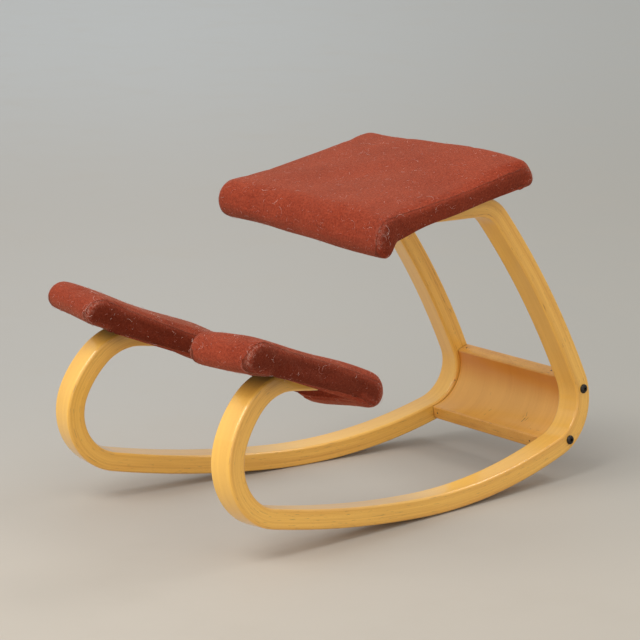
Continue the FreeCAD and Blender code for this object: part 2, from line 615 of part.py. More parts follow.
def pressed_blank(kind, label, holes):
    """Board at full width before its corners are rounded, bored for the tee nuts."""
    body = add_body(label + "_blank")
    sketch = add_sketch(body, label + "_profile", "YZ_Plane")
    flat_front, flat_rear, bend, thick, front, rear = board_profile(kind)
    up = math.pi / 2
    centres = (V(flat_rear, -bend, 0), V(-flat_front, -bend, 0))
    z_axis = V(0, 0, 1)
    wall = "Sizes.cover_thickness + Sizes.soft_clearance"
    sketch.addGeometry([
        Part.LineSegment(V(-flat_front, 0, 0), V(flat_rear, 0, 0)),
        Part.LineSegment(V(-flat_front, thick, 0), V(flat_rear, thick, 0)),
        Part.ArcOfCircle(Part.Circle(centres[0], z_axis, bend), up - rear, up),
        Part.ArcOfCircle(Part.Circle(centres[0], z_axis, bend + thick), up - rear, up),
        Part.ArcOfCircle(Part.Circle(centres[1], z_axis, bend), up, up + front),
        Part.ArcOfCircle(Part.Circle(centres[1], z_axis, bend + thick), up, up + front)], False)
    sketch.addGeometry(Part.LineSegment(sketch.getPoint(2, 1), sketch.getPoint(3, 1)), False)
    sketch.addGeometry(Part.LineSegment(sketch.getPoint(4, 2), sketch.getPoint(5, 2)), False)
    for first, first_end, second, second_end in (
            (0, 2, 2, 2), (1, 2, 3, 2), (0, 1, 4, 1), (1, 1, 5, 1)):
        sketch.addConstraint(Sketcher.Constraint("Tangent", first, first_end, second, second_end))
    for first, first_end, second, second_end in (
            (6, 1, 2, 1), (6, 2, 3, 1), (7, 1, 4, 2), (7, 2, 5, 2), (2, 3, 3, 3), (4, 3, 5, 3)):
        sketch.addConstraint(Sketcher.Constraint("Coincident", first, first_end, second, second_end))
    sketch.addConstraint(Sketcher.Constraint("PointOnObject", 2, 3, 6))
    sketch.addConstraint(Sketcher.Constraint("PointOnObject", 4, 3, 7))
    sketch.addConstraint(Sketcher.Constraint("PointOnObject", 0, 1, -1))
    sketch.addConstraint(Sketcher.Constraint("Horizontal", 0))
    bind(sketch, Sketcher.Constraint("DistanceX", -1, 1, 0, 2, flat_rear),
         f"Sizes.{kind}_rear - Sizes.{kind}_rear_roll + {wall}")
    bind(sketch, Sketcher.Constraint("DistanceX", 0, 1, -1, 1, flat_front),
         f"Sizes.{kind}_front - Sizes.{kind}_front_roll + {wall}")
    for arc in (2, 4):
        bind(sketch, Sketcher.Constraint("Radius", arc, bend), f"Sizes.{kind}_board_lip_radius")
    bind(sketch, Sketcher.Constraint("Radius", 3, bend + thick),
         f"Sizes.{kind}_board_lip_radius + Sizes.{kind}_board_thickness")
    bind(sketch, Sketcher.Constraint("Angle", 2, rear), f"Sizes.{kind}_board_rear_angle * 1 deg")
    bind(sketch, Sketcher.Constraint("Angle", 4, front), f"Sizes.{kind}_board_front_angle * 1 deg")
    pad = body.newObject("PartDesign::Pad", label + "_pressed")
    pad.Profile = sketch
    pad.setExpression("Length", f"Sizes.{kind}_width - 2 * Sizes.{kind}_board_edge")
    pad.Midplane = True
    doc.recompute()
    for name, diameter, depth in (("barrel", "Sizes.nut_barrel", None),
                                  ("flange", "Sizes.nut_flange", "Sizes.nut_flange_height")):
        plan = add_sketch(body, f"{label}_{name}_plan", "XY_Plane")
        plan.AttachmentOffset = FreeCAD.Placement(V(0, 0, thick), FreeCAD.Rotation())
        for x, y in holes:
            index = plan.addGeometry(Part.Circle(V(x, y, 0), V(0, 0, 1), 4), False)
            plan.addConstraint(Sketcher.Constraint("DistanceX", -1, 1, index, 3, x))
            plan.addConstraint(Sketcher.Constraint("DistanceY", -1, 1, index, 3, y))
            bind(plan, Sketcher.Constraint("Radius", index, 4), f"{diameter} / 2 + Sizes.fit_clearance")
        pocket = body.newObject("PartDesign::Pocket", f"{label}_{name}_holes")
        pocket.Profile = plan
        if depth is None:
            pocket.Type = "ThroughAll"
        else:
            pocket.setExpression("Length", depth)
        doc.recompute()
    return body


def board(kind, label, holes, placement):
    """Pressed blank trimmed to a plan with rounded corners."""
    blank = pressed_blank(kind, label, holes)
    blank.Placement = placement
    flat_front, flat_rear, bend, thick, front, rear = board_profile(kind)
    plan_body = add_body(label + "_plan")
    plan = add_sketch(plan_body, label + "_outline", "XY_Plane")
    front_end = flat_front + (bend + thick) * math.sin(front)
    rear_end = flat_rear + (bend + thick) * math.sin(rear)
    edge = f"{kind}_board_edge"
    rounded_section(plan, size(f"{kind}_width") - 2 * size(edge), front_end + rear_end,
                    size(f"{kind}_board_corner"),
                    (f"Sizes.{kind}_width - 2 * Sizes.{edge}", str(front_end + rear_end),
                     f"Sizes.{kind}_board_corner"))
    trim = plan_body.newObject("PartDesign::Pad", label + "_trim")
    trim.Profile = plan
    trim.Length = 4 * (bend + thick)
    trim.Midplane = True
    plan_body.Placement = placement.multiply(FreeCAD.Placement(V(0, -front_end, 0), FreeCAD.Rotation()))
    trimmed = doc.addObject("Part::Common", label)
    trimmed.Base, trimmed.Tool = blank, plan_body
    trimmed.Label = label
    doc.recompute()
    return trimmed


# Upholstery: foam on a board, wool cover over both, its hem turned in under the board

def roll_end(kind, x, inset, bow, end, sign):
    """One end of a side profile, top to underside: upper arc, lower arc, line to the rim."""
    length, drop, roll = (size(f"{kind}_{part}") for part in (end, end + "_drop", end + "_roll"))
    top = size(f"{kind}_top")
    lower = (top + drop) * size("roll_lower_share")
    upper = top + drop - lower + bow
    level = lower - drop
    slant = math.sqrt(0.5)

    def arc(radius, turn):
        centre = V(x, sign * (length - radius), level)
        spokes = [V(0, 0, turn), V(0, sign * slant, turn * slant), V(0, sign, 0)]
        return [centre + spoke * (radius - inset) for spoke in spokes]

    over, under = arc(upper, 1), arc(lower, -1)
    rim = V(x, sign * (length - roll), inset - size(f"{kind}_side_drop"))
    edges = [Part.Arc(*over), Part.Arc(*reversed(under)), Part.LineSegment(under[0], rim)]
    return over[0], rim, [edge.toShape() for edge in edges]


def side_profile(kind, x, inset, bow):
    """Closed outline of a cushion seen from the side, drawn in by an inset, its top raised by a bow."""
    front_top, front_rim, front = roll_end(kind, x, inset, bow, "front", -1)
    rear_top, rear_rim, rear = roll_end(kind, x, inset, bow, "rear", 1)
    top = Part.LineSegment(rear_top, front_top).toShape()
    underside = Part.LineSegment(front_rim, rear_rim).toShape()
    return Part.Wire(Part.__sortEdges__([top, *front, underside, *rear[::-1]]))


CROWN_STEPS = 3
ROUNDING_STEPS = 3


def cushion_form(kind, inset):
    """Loft of side profiles across the cushion: rounded side, crowned middle, rounded side."""
    crown, rounding = size(f"{kind}_crown"), size(f"{kind}_side_rounding")
    flank = size(f"{kind}_width") / 2 - rounding
    stations = []
    for step in range(ROUNDING_STEPS):
        angle = math.pi / 2 * step / ROUNDING_STEPS
        stations.append((flank + rounding * math.cos(angle) - inset, rounding * (1 - math.sin(angle)), 0))
    for step in range(CROWN_STEPS):
        x = flank * (1 - step / CROWN_STEPS)
        stations.append((x, 0, crown * (1 - (x / flank) ** 2)))
    stations = [(-x, draw, bow) for x, draw, bow in stations] + [(0, 0, crown)] + stations[::-1]
    return Part.makeLoft([side_profile(kind, x, inset + draw, bow) for x, draw, bow in stations], True, True)


def hollow_form(kind, grow, ceiling):
    """Open space under the board, inside the rims, grown outwards by a wall and up to a ceiling."""
    half = size(f"{kind}_width") / 2 - size(f"{kind}_side_wall") + grow
    front = size(f"{kind}_front") - size(f"{kind}_front_roll") + grow
    rear = size(f"{kind}_rear") - size(f"{kind}_rear_roll") + grow
    deep = 2 * size(f"{kind}_top")
    return Part.makeBox(2 * half, front + rear, deep + ceiling, V(-half, -front, -deep))


def upholstery(kind, suffix, placement):
    cloth, gap = size("cover_thickness"), size("soft_clearance")
    outer = cushion_form(kind, 0).cut(hollow_form(kind, 0, -cloth))
    inner = cushion_form(kind, cloth).cut(hollow_form(kind, cloth, 0))
    hem = size("hem_width")
    opening = hollow_form(kind, -hem, 0)
    cover_shape = outer.cut(inner).cut(opening)
    clear = board_clearance(kind, gap)
    foam_shape = cushion_form(kind, cloth + gap).cut(hollow_form(kind, cloth + gap, 0)).cut(clear)
    made = []
    for part, shape in (("foam", foam_shape), ("cover", cover_shape)):
        feature = doc.addObject("Part::Feature", f"{part}_{kind}_{suffix}")
        feature.Shape = shape
        feature.Placement = placement
        made.append(feature)
    return made


def board_clearance(kind, gap):
    """The board's plain outline, a little larger all round, and the space under it."""
    flat_front, flat_rear, bend, thick, front, rear = board_profile(kind)
    half = size(f"{kind}_width") / 2 - size(f"{kind}_board_edge") + gap
    low, high = bend - gap, bend + thick + gap
    pieces = [Part.makeBox(2 * half, flat_front + flat_rear, thick + 2 * gap, V(-half, -flat_front, -gap))]
    for y, first, last in ((flat_rear, 90 - math.degrees(rear) - 0.8, 90),
                           (-flat_front, 90, 90 + math.degrees(front) + 0.8)):
        ring = Part.makeCylinder(high, 2 * half, V(-half, y, -bend), V(1, 0, 0), 360)
        ring = ring.cut(Part.makeCylinder(low, 2 * half, V(-half, y, -bend), V(1, 0, 0), 360))
        a, b = math.radians(first), math.radians(last)
        far = high * 3
        corners = [V(-half, y, -bend), V(-half, y + far * math.cos(a), -bend + far * math.sin(a)),
                   V(-half, y + far * math.cos((a + b) / 2), -bend + far * math.sin((a + b) / 2)),
                   V(-half, y + far * math.cos(b), -bend + far * math.sin(b)), V(-half, y, -bend)]
        wedge = Part.Face(Part.makePolygon(corners)).extrude(V(2 * half, 0, 0))
        pieces.append(ring.common(wedge))
    return pieces[0].fuse(pieces[1:])


def lining(kind, label, holes):
    body = add_body(label)
    sketch = add_sketch(body, label + "_plan", "XY_Plane")
    gap = size("soft_clearance")
    rim = size(f"{kind}_side_wall") + size("hem_width") + gap
    half = size(f"{kind}_width") / 2 - rim
    front = size(f"{kind}_front") - size(f"{kind}_front_roll") - size("hem_width") - gap
    rear = size(f"{kind}_rear") - size(f"{kind}_rear_roll") - size("hem_width") - gap
    corners = [V(-half, -front, 0), V(half, -front, 0), V(half, rear, 0), V(-half, rear, 0)]
    for index in range(4):
        sketch.addGeometry(Part.LineSegment(corners[index], corners[(index + 1) % 4]), False)
    for index in range(4):
        sketch.addConstraint(Sketcher.Constraint("Coincident", index, 2, (index + 1) % 4, 1))
    for index in (0, 2):
        sketch.addConstraint(Sketcher.Constraint("Horizontal", index))
        sketch.addConstraint(Sketcher.Constraint("Vertical", index + 1))
    inside = "Sizes.hem_width - Sizes.soft_clearance"
    bind(sketch, Sketcher.Constraint("DistanceX", -1, 1, 1, 1, half),
         f"Sizes.{kind}_width / 2 - Sizes.{kind}_side_wall - {inside}")
    bind(sketch, Sketcher.Constraint("DistanceX", 0, 1, -1, 1, half),
         f"Sizes.{kind}_width / 2 - Sizes.{kind}_side_wall - {inside}")
    bind(sketch, Sketcher.Constraint("DistanceY", 0, 1, -1, 1, front),
         f"Sizes.{kind}_front - Sizes.{kind}_front_roll - {inside}")
    bind(sketch, Sketcher.Constraint("DistanceY", -1, 1, 2, 1, rear),
         f"Sizes.{kind}_rear - Sizes.{kind}_rear_roll - {inside}")
    for x, y in holes:
        index = sketch.addGeometry(Part.Circle(V(x, y, 0), V(0, 0, 1), 3), False)
        sketch.addConstraint(Sketcher.Constraint("DistanceX", -1, 1, index, 3, x))
        sketch.addConstraint(Sketcher.Constraint("DistanceY", -1, 1, index, 3, y))
        bind(sketch, Sketcher.Constraint("Radius", index, 3),
             "Sizes.bolt_diameter / 2 + Sizes.soft_clearance")
    pad = body.newObject("PartDesign::Pad", label + "_cloth")
    pad.Profile = sketch
    pad.setExpression("Length", "Sizes.lining_thickness")
    pad.Reversed = True
    doc.recompute()
    return body


def tee_nut_model(kind):
    """Tee nut with its flange up, the top of the flange at Z = 0."""
    flange = cylinder(f"{kind}_nut_flange", "Sizes.nut_flange", "Sizes.nut_flange_height",
                      FreeCAD.Placement(V(0, 0, -size("nut_flange_height")), FreeCAD.Rotation()))
    barrel = cylinder(f"{kind}_nut_barrel", "Sizes.nut_barrel", "Sizes.nut_length",
                      FreeCAD.Placement(V(0, 0, -size("nut_length")), FreeCAD.Rotation()))
    bore = cylinder(f"{kind}_nut_thread", "Sizes.bolt_diameter", "Sizes.nut_length * 2",
                    FreeCAD.Placement(V(0, 0, -1.5 * size("nut_length")), FreeCAD.Rotation()),
                    "Sizes.fit_clearance")
    model = cut(f"{kind}_tee_nut_model", fused(f"{kind}_nut_outside", [flange, barrel]), bore)
    doc.recompute()
    return model


def upholstered(kind, names, placement, bolt_points, suffix):
    """Board, foam, cover, lining, tee nuts and bolts of the seat or of one knee pad."""
    up = placement.Rotation.multVec(V(0, 0, 1))
    local = [placement.inverse().multVec(point) for point in bolt_points]
    holes = [(point.x, point.y) for point in local]
    plate = board(kind, names["board"], holes, placement)
    foam, cover = upholstery(kind, suffix, placement)
    foam.Label, cover.Label = names["foam"], names["cover"]
    cloth = lining(kind, names["lining"], holes)
    cloth.Placement = placement
    nut_top = size(f"{kind}_board_thickness")
    nut_places = [along(point + up * nut_top, up) for point in bolt_points]
    nuts = copies(names["nuts"], tee_nut, nut_places)
    solids = []
    for index, point in enumerate(bolt_points):
        grip = BOLT_GRIPS[kind][index % 2]
        model = bolt_models[kind, grip].Shape.copy()
        head = point - up * (size("lining_thickness") + size(grip))
        model.Placement = along(head, up)
        solids.append(model)
    bolts = doc.addObject("Part::Feature", names["bolts"])
    bolts.Shape = Part.makeCompound(solids)
    bolts.Label = names["bolts"]
    return [plate, foam, cover, cloth, nuts, bolts]


tee_nut = tee_nut_model("board")
bolt_models = {}
for kind in ("seat", "pad"):
    for grip in BOLT_GRIPS[kind]:
        shank = (size(grip) + size("lining_thickness") + size(f"{kind}_board_thickness")
                 - size("bolt_end_gap"))
        bolt_models[kind, grip] = domed_bolt(f"{kind}_{grip}_model", size("bolt_head"),
                                             size("bolt_head_height"), size("bolt_diameter"), shank)

seat_points = [point for _, side in SIDES for point in seat_bolt_points(side)]
seat_names = {part: f"seat_{part}" for part in ("board", "foam", "cover", "lining")}
seat_names.update(nuts="seat_tee_nuts", bolts="seat_bolts")
nodes += upholstered("seat", seat_names, seat_place, seat_points, "top")
for name, side in SIDES:
    pad_names = {part: f"knee_pad_{part}_{name}" for part in ("board", "foam", "cover", "lining")}
    pad_names.update(nuts=f"knee_pad_tee_nuts_{name}", bolts=f"knee_pad_bolts_{name}")
    nodes += upholstered("pad", pad_names, pad_place(side), pad_bolt_points(side), name)


doc.recompute()
failed = [item.Name for item in doc.Objects if {"Invalid", "Error"} & set(item.State)]
if failed:
    raise RuntimeError(f"failed objects: {failed}")
for node in nodes:
    if node.Shape.isNull() or not node.Shape.isValid():
        raise RuntimeError(f"bad shape: {node.Label}")

os.makedirs("parts", exist_ok=True)
for node in nodes:
    node.Shape.exportStep(f"parts/{node.Label}.step")
    print(node.Label, round(node.Shape.Volume), len(node.Shape.Solids))
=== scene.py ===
import math
import random

import bmesh
import bpy
import numpy as np
from mathutils import Matrix, Vector
from mathutils.kdtree import KDTree


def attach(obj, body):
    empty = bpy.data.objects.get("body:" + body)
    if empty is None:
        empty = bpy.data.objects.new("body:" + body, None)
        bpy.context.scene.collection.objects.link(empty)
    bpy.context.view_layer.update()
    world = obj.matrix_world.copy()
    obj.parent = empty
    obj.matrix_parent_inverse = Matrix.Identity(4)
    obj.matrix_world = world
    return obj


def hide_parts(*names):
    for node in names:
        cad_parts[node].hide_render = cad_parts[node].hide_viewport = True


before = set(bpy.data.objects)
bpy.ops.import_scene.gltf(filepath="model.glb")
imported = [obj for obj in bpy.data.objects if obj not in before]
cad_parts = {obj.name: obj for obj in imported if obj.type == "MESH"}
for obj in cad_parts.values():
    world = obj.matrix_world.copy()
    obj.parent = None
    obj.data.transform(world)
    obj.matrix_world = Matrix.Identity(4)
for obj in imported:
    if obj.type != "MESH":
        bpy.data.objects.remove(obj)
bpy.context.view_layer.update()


# Studio: a pale painted floor, a broad soft lamp high in front of the chair, a window behind it,
# weaker light from everywhere else, and a long lens 1.1 m above the floor.

class Value:
    """A number or colour inside a material. Expressions on it add the nodes they need."""

    def __init__(self, finish, socket):
        self.finish = finish
        self.socket = socket

    def math(self, operation, *values):
        return self.finish.add("ShaderNodeMath", {"operation": operation}, dict(enumerate(values)))

    def __add__(self, other):
        return self.math("ADD", self, other)

    def __sub__(self, other):
        return self.math("SUBTRACT", self, other)

    def __rsub__(self, other):
        return self.math("SUBTRACT", other, self)

    def __mul__(self, other):
        return self.math("MULTIPLY", self, other)

    def __truediv__(self, other):
        return self.math("DIVIDE", self, other)

    def __pow__(self, other):
        return self.math("POWER", self, other)

    def __gt__(self, other):
        return self.math("GREATER_THAN", self, other)

    def __lt__(self, other):
        return self.math("LESS_THAN", self, other)

    def __abs__(self):
        return self.math("ABSOLUTE", self)

    __radd__ = __add__
    __rmul__ = __mul__

    def floor(self):
        return self.math("FLOOR", self)

    def fraction(self):
        return self.math("FRACT", self)

    def step(self, low, high):
        """Smooth rise from 0 at low to 1 at high, or a fall where low is the larger."""
        return self.finish.add("ShaderNodeMapRange", {"interpolation_type": "SMOOTHSTEP"},
                               {"Value": self, "From Min": low, "From Max": high})


class Nodes:
    """A node tree under construction."""

    def __init__(self, tree):
        self.tree = tree

    def add(self, kind, settings=None, values=None, output=0):
        """One node of a kind: its settings first, then the values or links of its sockets."""
        node = self.tree.nodes.new(kind)
        for name, setting in (settings or {}).items():
            setattr(node, name, setting)
        for name, value in (values or {}).items():
            if isinstance(value, Value):
                self.tree.links.new(value.socket, node.inputs[name])
            else:
                node.inputs[name].default_value = value
        return Value(self, node.outputs[output])

    def axes(self, vector):
        return [self.add("ShaderNodeSeparateXYZ", None, {0: vector}, axis) for axis in range(3)]

    def point(self, x, y, z):
        return self.add("ShaderNodeCombineXYZ", None, {0: x, 1: y, 2: z})

    def vector(self, operation, first, second, output=0):
        return self.add("ShaderNodeVectorMath", {"operation": operation}, {0: first, 1: second}, output)


class Finish(Nodes):
    """A node material under construction."""

    def __init__(self, name):
        self.material = bpy.data.materials.new(name)
        self.material.use_nodes = True
        super().__init__(self.material.node_tree)
        self.tree.nodes.clear()

    def position(self):
        return self.add("ShaderNodeTexCoord", output="Object")

    def noise(self, vector, scale, detail=2.0, roughness=0.5):
        return self.add("ShaderNodeTexNoise", None, {"Vector": vector, "Scale": scale, "Detail": detail,
                                                     "Roughness": roughness})

    def cells(self, vector, scale):
        """Distance to the nearest scattered point and a random number for that point."""
        values = {"Vector": vector, "Scale": scale}
        near = self.add("ShaderNodeTexVoronoi", None, values, "Distance")
        chance = self.add("ShaderNodeTexVoronoi", None, values, "Color")
        return near, self.axes(chance)[0]

    def blend(self, factor, first, second):
        """From the first colour at factor 0 to the second at factor 1."""
        return self.add("ShaderNodeMix", {"data_type": "RGBA"}, {0: factor, 6: first, 7: second}, 2)

    def bump(self, height, distance, strength=1.0, normal=None):
        values = {"Height": height, "Distance": distance, "Strength": strength}
        if normal:
            values["Normal"] = normal
        return self.add("ShaderNodeBump", None, values)

    def surface(self, **sockets):
        values = {name.replace("_", " "): value for name, value in sockets.items()}
        shader = self.add("ShaderNodeBsdfPrincipled", None, values)
        self.add_output(shader)
        return self.material

    def add_output(self, shader):
        output = self.tree.nodes.new("ShaderNodeOutputMaterial")
        self.tree.links.new(shader.socket, output.inputs["Surface"])


def new_piece(name, mesh):
    piece = bpy.data.objects.new(name, mesh)
    bpy.context.scene.collection.objects.link(piece)
    return piece


CAMERA_PLACE = (3.0249, -2.4314, 1.1236)
CAMERA_TILT, CAMERA_HEADING = math.radians(77.51), math.radians(51.63)
FLOOR_REACH = 22

# The floor pales towards the lens and darkens to the right: painted light and painted shade.
# Colours from far off to the front.
far_paint, middle_paint, near_paint = (
    (0.478, 0.490, 0.483, 1), (0.433, 0.415, 0.380, 1), (0.545, 0.490, 0.415, 1))
shaded_paint, trodden_paint = (0.300, 0.285, 0.245, 1), (0.43, 0.38, 0.31, 1)
floor_finish = Finish("floor_paint")
floor_spot = floor_finish.position()
from_lens = floor_finish.vector("SUBTRACT", floor_spot, CAMERA_PLACE)
view_way = (-math.sin(CAMERA_HEADING), math.cos(CAMERA_HEADING), 0.0)
right_way = (math.cos(CAMERA_HEADING), math.sin(CAMERA_HEADING), 0.0)
ahead = floor_finish.vector("DOT_PRODUCT", from_lens, view_way, "Value")
aside = floor_finish.vector("DOT_PRODUCT", from_lens, right_way, "Value")
ahead = ahead.math("MAXIMUM", ahead, 1.0)
nearness = ahead.math("DIVIDE", 1.0, ahead)
close = nearness.step(0.205, 0.305)
paint = floor_finish.blend(nearness.step(0.095, 0.165), far_paint, middle_paint)
paint = floor_finish.blend(close, paint, near_paint)
# Painted shade over the right of the floor.
shade = (aside / ahead).step(-0.08, 0.14) * (0.48 - close * 0.28)
paint = floor_finish.blend(shade, paint, shaded_paint)
tracks = floor_finish.noise(floor_spot, 5.0, 5.0, 0.65).step(0.45, 0.85)
paint = floor_finish.blend(tracks * 0.2, paint, trodden_paint)
floor_material = floor_finish.surface(Base_Color=paint, Roughness=0.62, Specular_IOR_Level=0.3)

floor_mesh = bpy.data.meshes.new("floor")
floor_corners = [(x * FLOOR_REACH, y * FLOOR_REACH, 0) for x, y in ((-1, -1), (1, -1), (1, 1), (-1, 1))]
floor_mesh.from_pydata(floor_corners, [], [(0, 1, 2, 3)])
floor = new_piece("floor", floor_mesh)
floor_mesh.materials.append(floor_material)


def lamp(name, kind, energy, place, target, **settings):
    light = bpy.data.lights.new(name, kind)
    light.energy = energy
    for setting, value in settings.items():
        setattr(light, setting, value)
    holder = bpy.data.objects.new(name, light)
    holder.location = place
    holder.rotation_euler = (Vector(target) - Vector(place)).to_track_quat("-Z", "Y").to_euler()
    bpy.context.scene.collection.objects.link(holder)


lamp("key", "SUN", 1.38, (0.2, -1.9, 2.8), (0, 0, 0), angle=math.radians(30), color=(1.0, 0.98, 0.95))
lamp("fill", "SUN", 0.75, (3.2, -1.6, 1.6), (0, 0, 0), angle=math.radians(70), color=(1.0, 0.98, 0.96))
lamp("strip", "AREA", 22.0, (-1.2, -2.6, 2.3), (0, 0, 0.25), size=1.6)
lamp("window", "AREA", 17.0, (0.6, 2.2, 2.8), (0, 0, 0.2), shape="RECTANGLE", size=1.1, size_y=0.5)

world = bpy.data.worlds.new("studio")
world.use_nodes = True
world.node_tree.nodes["Background"].inputs["Color"].default_value = (0.96, 0.98, 1.0, 1)
world.node_tree.nodes["Background"].inputs["Strength"].default_value = 0.545
bpy.context.scene.world = world
bpy.context.scene.view_settings.view_transform = "Standard"

camera_data = bpy.data.cameras.new("camera")
camera_data.lens = 150.99
camera_data.sensor_width = 36.0
camera_data.clip_end = 100
camera = bpy.data.objects.new("camera", camera_data)
camera.location = CAMERA_PLACE
camera.rotation_euler = (CAMERA_TILT, 0.0, CAMERA_HEADING)
bpy.context.scene.collection.objects.link(camera)
bpy.context.scene.camera = camera


# Runners: about twenty beech veneers glued and bent to one band, sawn to width, all long edges
# rounded over, then lacquered clear. The veneers show as fine lines on the sawn sides.

PLY = 0.00145
RUNNER_DEPTH = 0.029
RUNNER_HALF_WIDTH = 0.02025
RUNNER_CONTACT = Vector((0.1678, 0.0537, 0.00081))
RUNNER_SPLAY, RUNNER_LEAN = math.radians(4.76), math.radians(2.84)
# Bends from the floor contact to either end as (radius in metres, degrees), and a straight tail
# as (None, metres), laid as an arc of STRAIGHT metres radius.
STRAIGHT = 50.0
FRONT_BENDS = [(0.834, 3.2), (1.730, 9.8), (0.0845, 100.8), (0.149, 23.1), (0.084, 51.4), (None, 0.045)]
REAR_BENDS = [(0.834, 17.4), (0.0713, 97.2), (1.263, 14.3), (0.057, 48.9), (None, 0.126)]


def runner_turn(side):
    """Splay and lean of a runner: side is 1 for the right one and -1 for the left."""
    return Matrix.Rotation(RUNNER_SPLAY * side, 3, "Z") @ Matrix.Rotation(-RUNNER_LEAN * side, 3, "Y")


RUNNER_TURN = runner_turn(1)


def bend_arcs(bends, side):
    """Arcs of half a centre line as (centre, radius, start, start way, end, end way, length before)."""
    point, heading, travelled = Vector((0, 0, RUNNER_DEPTH / 2)), 0 if side > 0 else math.pi, 0.0
    arcs = []
    for radius, amount in bends:
        turn = amount / STRAIGHT if radius is None else math.radians(amount)
        radius = radius or STRAIGHT
        way = Vector((0, math.cos(heading), math.sin(heading)))
        centre = point + Vector((0, -way.z, way.y)) * radius * side
        heading += turn * side
        end_way = Vector((0, math.cos(heading), math.sin(heading)))
        end = centre - Vector((0, -end_way.z, end_way.y)) * radius * side
        arcs.append((centre, radius, point, way, end, end_way, travelled * side))
        travelled += radius * turn
        point = end
    return arcs


def laminate_place(finish):
    """Metres along the band, outwards through its veneers and across its width."""
    x, y, z = finish.axes(finish.position())
    place = finish.vector("SUBTRACT", finish.point(abs(x), y, z), RUNNER_CONTACT)
    wide, rear, up = (finish.vector("DOT_PRODUCT", place, way, "Value") for way in RUNNER_TURN.col)
    spot = finish.point(0.0, rear, up)
    centre = spoke = reach = None
    arcs = bend_arcs(FRONT_BENDS, -1) + bend_arcs(REAR_BENDS, 1)
    for middle, radius, start, way, end, end_way, before in arcs:
        past = finish.vector("DOT_PRODUCT", spot, way, "Value") > start.dot(way)
        short = finish.vector("DOT_PRODUCT", spot, end_way, "Value") < end.dot(end_way)
        near = abs(finish.vector("DISTANCE", spot, middle, "Value") - radius) < RUNNER_DEPTH
        inside = past * short * near
        parts = [finish.add("ShaderNodeVectorMath", {"operation": "SCALE"}, {0: constant, "Scale": inside})
                 for constant in (middle, (start - middle) / radius, (radius, before, 0))]
        if centre is None:
            centre, spoke, reach = parts
        else:
            centre, spoke, reach = (finish.vector("ADD", total, part)
                                    for total, part in zip((centre, spoke, reach), parts))
    out = finish.vector("SUBTRACT", spot, centre)
    radius, before, _ = finish.axes(reach)
    across = finish.vector("LENGTH", out, (0, 0, 0), "Value") - radius
    turned = finish.axes(finish.vector("CROSS_PRODUCT", spoke, out))[0]
    angle = turned.math("ARCTAN2", turned, finish.vector("DOT_PRODUCT", spoke, out, "Value"))
    return before + radius * angle, across, wide


def beech(finish, along, across, wide, sawn, pale, deep):
    """Colour, roughness and normal of lacquered beech; sawn is 1 where the veneers lie open."""

    def stretched(lengthwise, layered, sideways, detail, roughness=0.5):
        """Noise with so many cells to the metre along the band, through it and across it."""
        place = finish.point(along * lengthwise, across * layered, wide * sideways)
        return finish.noise(place, 1.0, detail, roughness)

    layer = across * (1 / PLY) + (stretched(5, 40, 20, 3.0) - 0.5) * 0.9
    tone = finish.add("ShaderNodeTexWhiteNoise", {"noise_dimensions": "1D"}, {"W": layer.floor()})
    glue = abs(layer.fraction() - 0.5).step(0.30, 0.5) * sawn
    streaks = stretched(9, 600, 330, 4.0, 0.6)
    flecks = stretched(150, 1500, 800, 1.0).step(0.60, 0.74)
    dashes = stretched(55, 700, 60, 2.0).step(0.64, 0.72) * sawn
    bands = stretched(3.5, 80, 30, 3.0)
    scuffs = stretched(45, 260, 200, 4.0).step(0.66, 0.8)
    spot = finish.position()
    near, chance = finish.cells(spot, 34.0)
    ragged = near + (finish.noise(spot, 700.0) - 0.5) * 0.06
    dents = (ragged < 0.05) * (chance > 0.82)

    darker = (streaks.step(0.3, 0.8) * (0.16 + sawn * 0.14) + bands.step(0.35, 0.8) * 0.34
              + tone * sawn * 0.22 + flecks * 0.12 + glue * 0.32)
    colour = finish.blend(darker, pale, deep)
    for mask, stain in ((dashes * 0.5, (0.22, 0.10, 0.03, 1)), (dents * 0.8, (0.07, 0.035, 0.015, 1)),
                        (scuffs * 0.22, (0.30, 0.16, 0.06, 1))):
        colour = finish.blend(mask, colour, stain)
    roughness = 0.30 + streaks * 0.1 + scuffs * 0.15 + dents * 0.3
    grain = finish.bump(streaks * 0.4 - glue * 0.6 - flecks * 0.3 - dashes, 0.00008)
    return colour, roughness, finish.bump(1 - dents, 0.0006, 1.0, grain)


runner_finish = Finish("laminated_beech")
band_along, band_across, band_wide = laminate_place(runner_finish)
sawn_sides = abs(band_wide).step(0.0165, 0.0195)
runner_colour, runner_roughness, runner_normal = beech(
    runner_finish, band_along, band_across, band_wide, sawn_sides,
    (0.97, 0.55, 0.096, 1), (0.64, 0.265, 0.027, 1))
# Painted shade, with some grime, on the outer veneers where the band runs in under its knee pad.
grime_and_shade = (band_along.step(-0.560, -0.590) * band_along.step(-0.640, -0.612)
         * band_across.step(-0.012, 0.012) * 0.55)
runner_colour = runner_finish.blend(grime_and_shade, runner_colour, (0.16, 0.055, 0.012, 1))
runner_material = runner_finish.surface(Base_Color=runner_colour, Roughness=runner_roughness,
                                        Normal=runner_normal, Coat_Weight=0.7, Coat_Roughness=0.13)


def finish_node(name, material):
    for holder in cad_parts[name].material_slots:
        holder.material = material


finish_node("runner_right", runner_material)
finish_node("runner_left", runner_material)


# Crossbar: a wider panel of the same veneers, bent to the rear bends of the runners and held
# between them. Its face grain follows the bend, and its cut ends show the veneers.

REAR_BEND = bend_arcs(REAR_BENDS, 1)[1]
CROSSBAR_CENTRE = Vector((0, RUNNER_CONTACT.y, RUNNER_CONTACT.z)) + REAR_BEND[0]
CROSSBAR_RADIUS = REAR_BEND[1]
CROSSBAR_THICKNESS = 0.0213
CROSSBAR_ENDS = (math.radians(-80.1), math.radians(26.1))
CROSSBAR_EDGE = 0.0025
JOINT_GAP = 0.0003
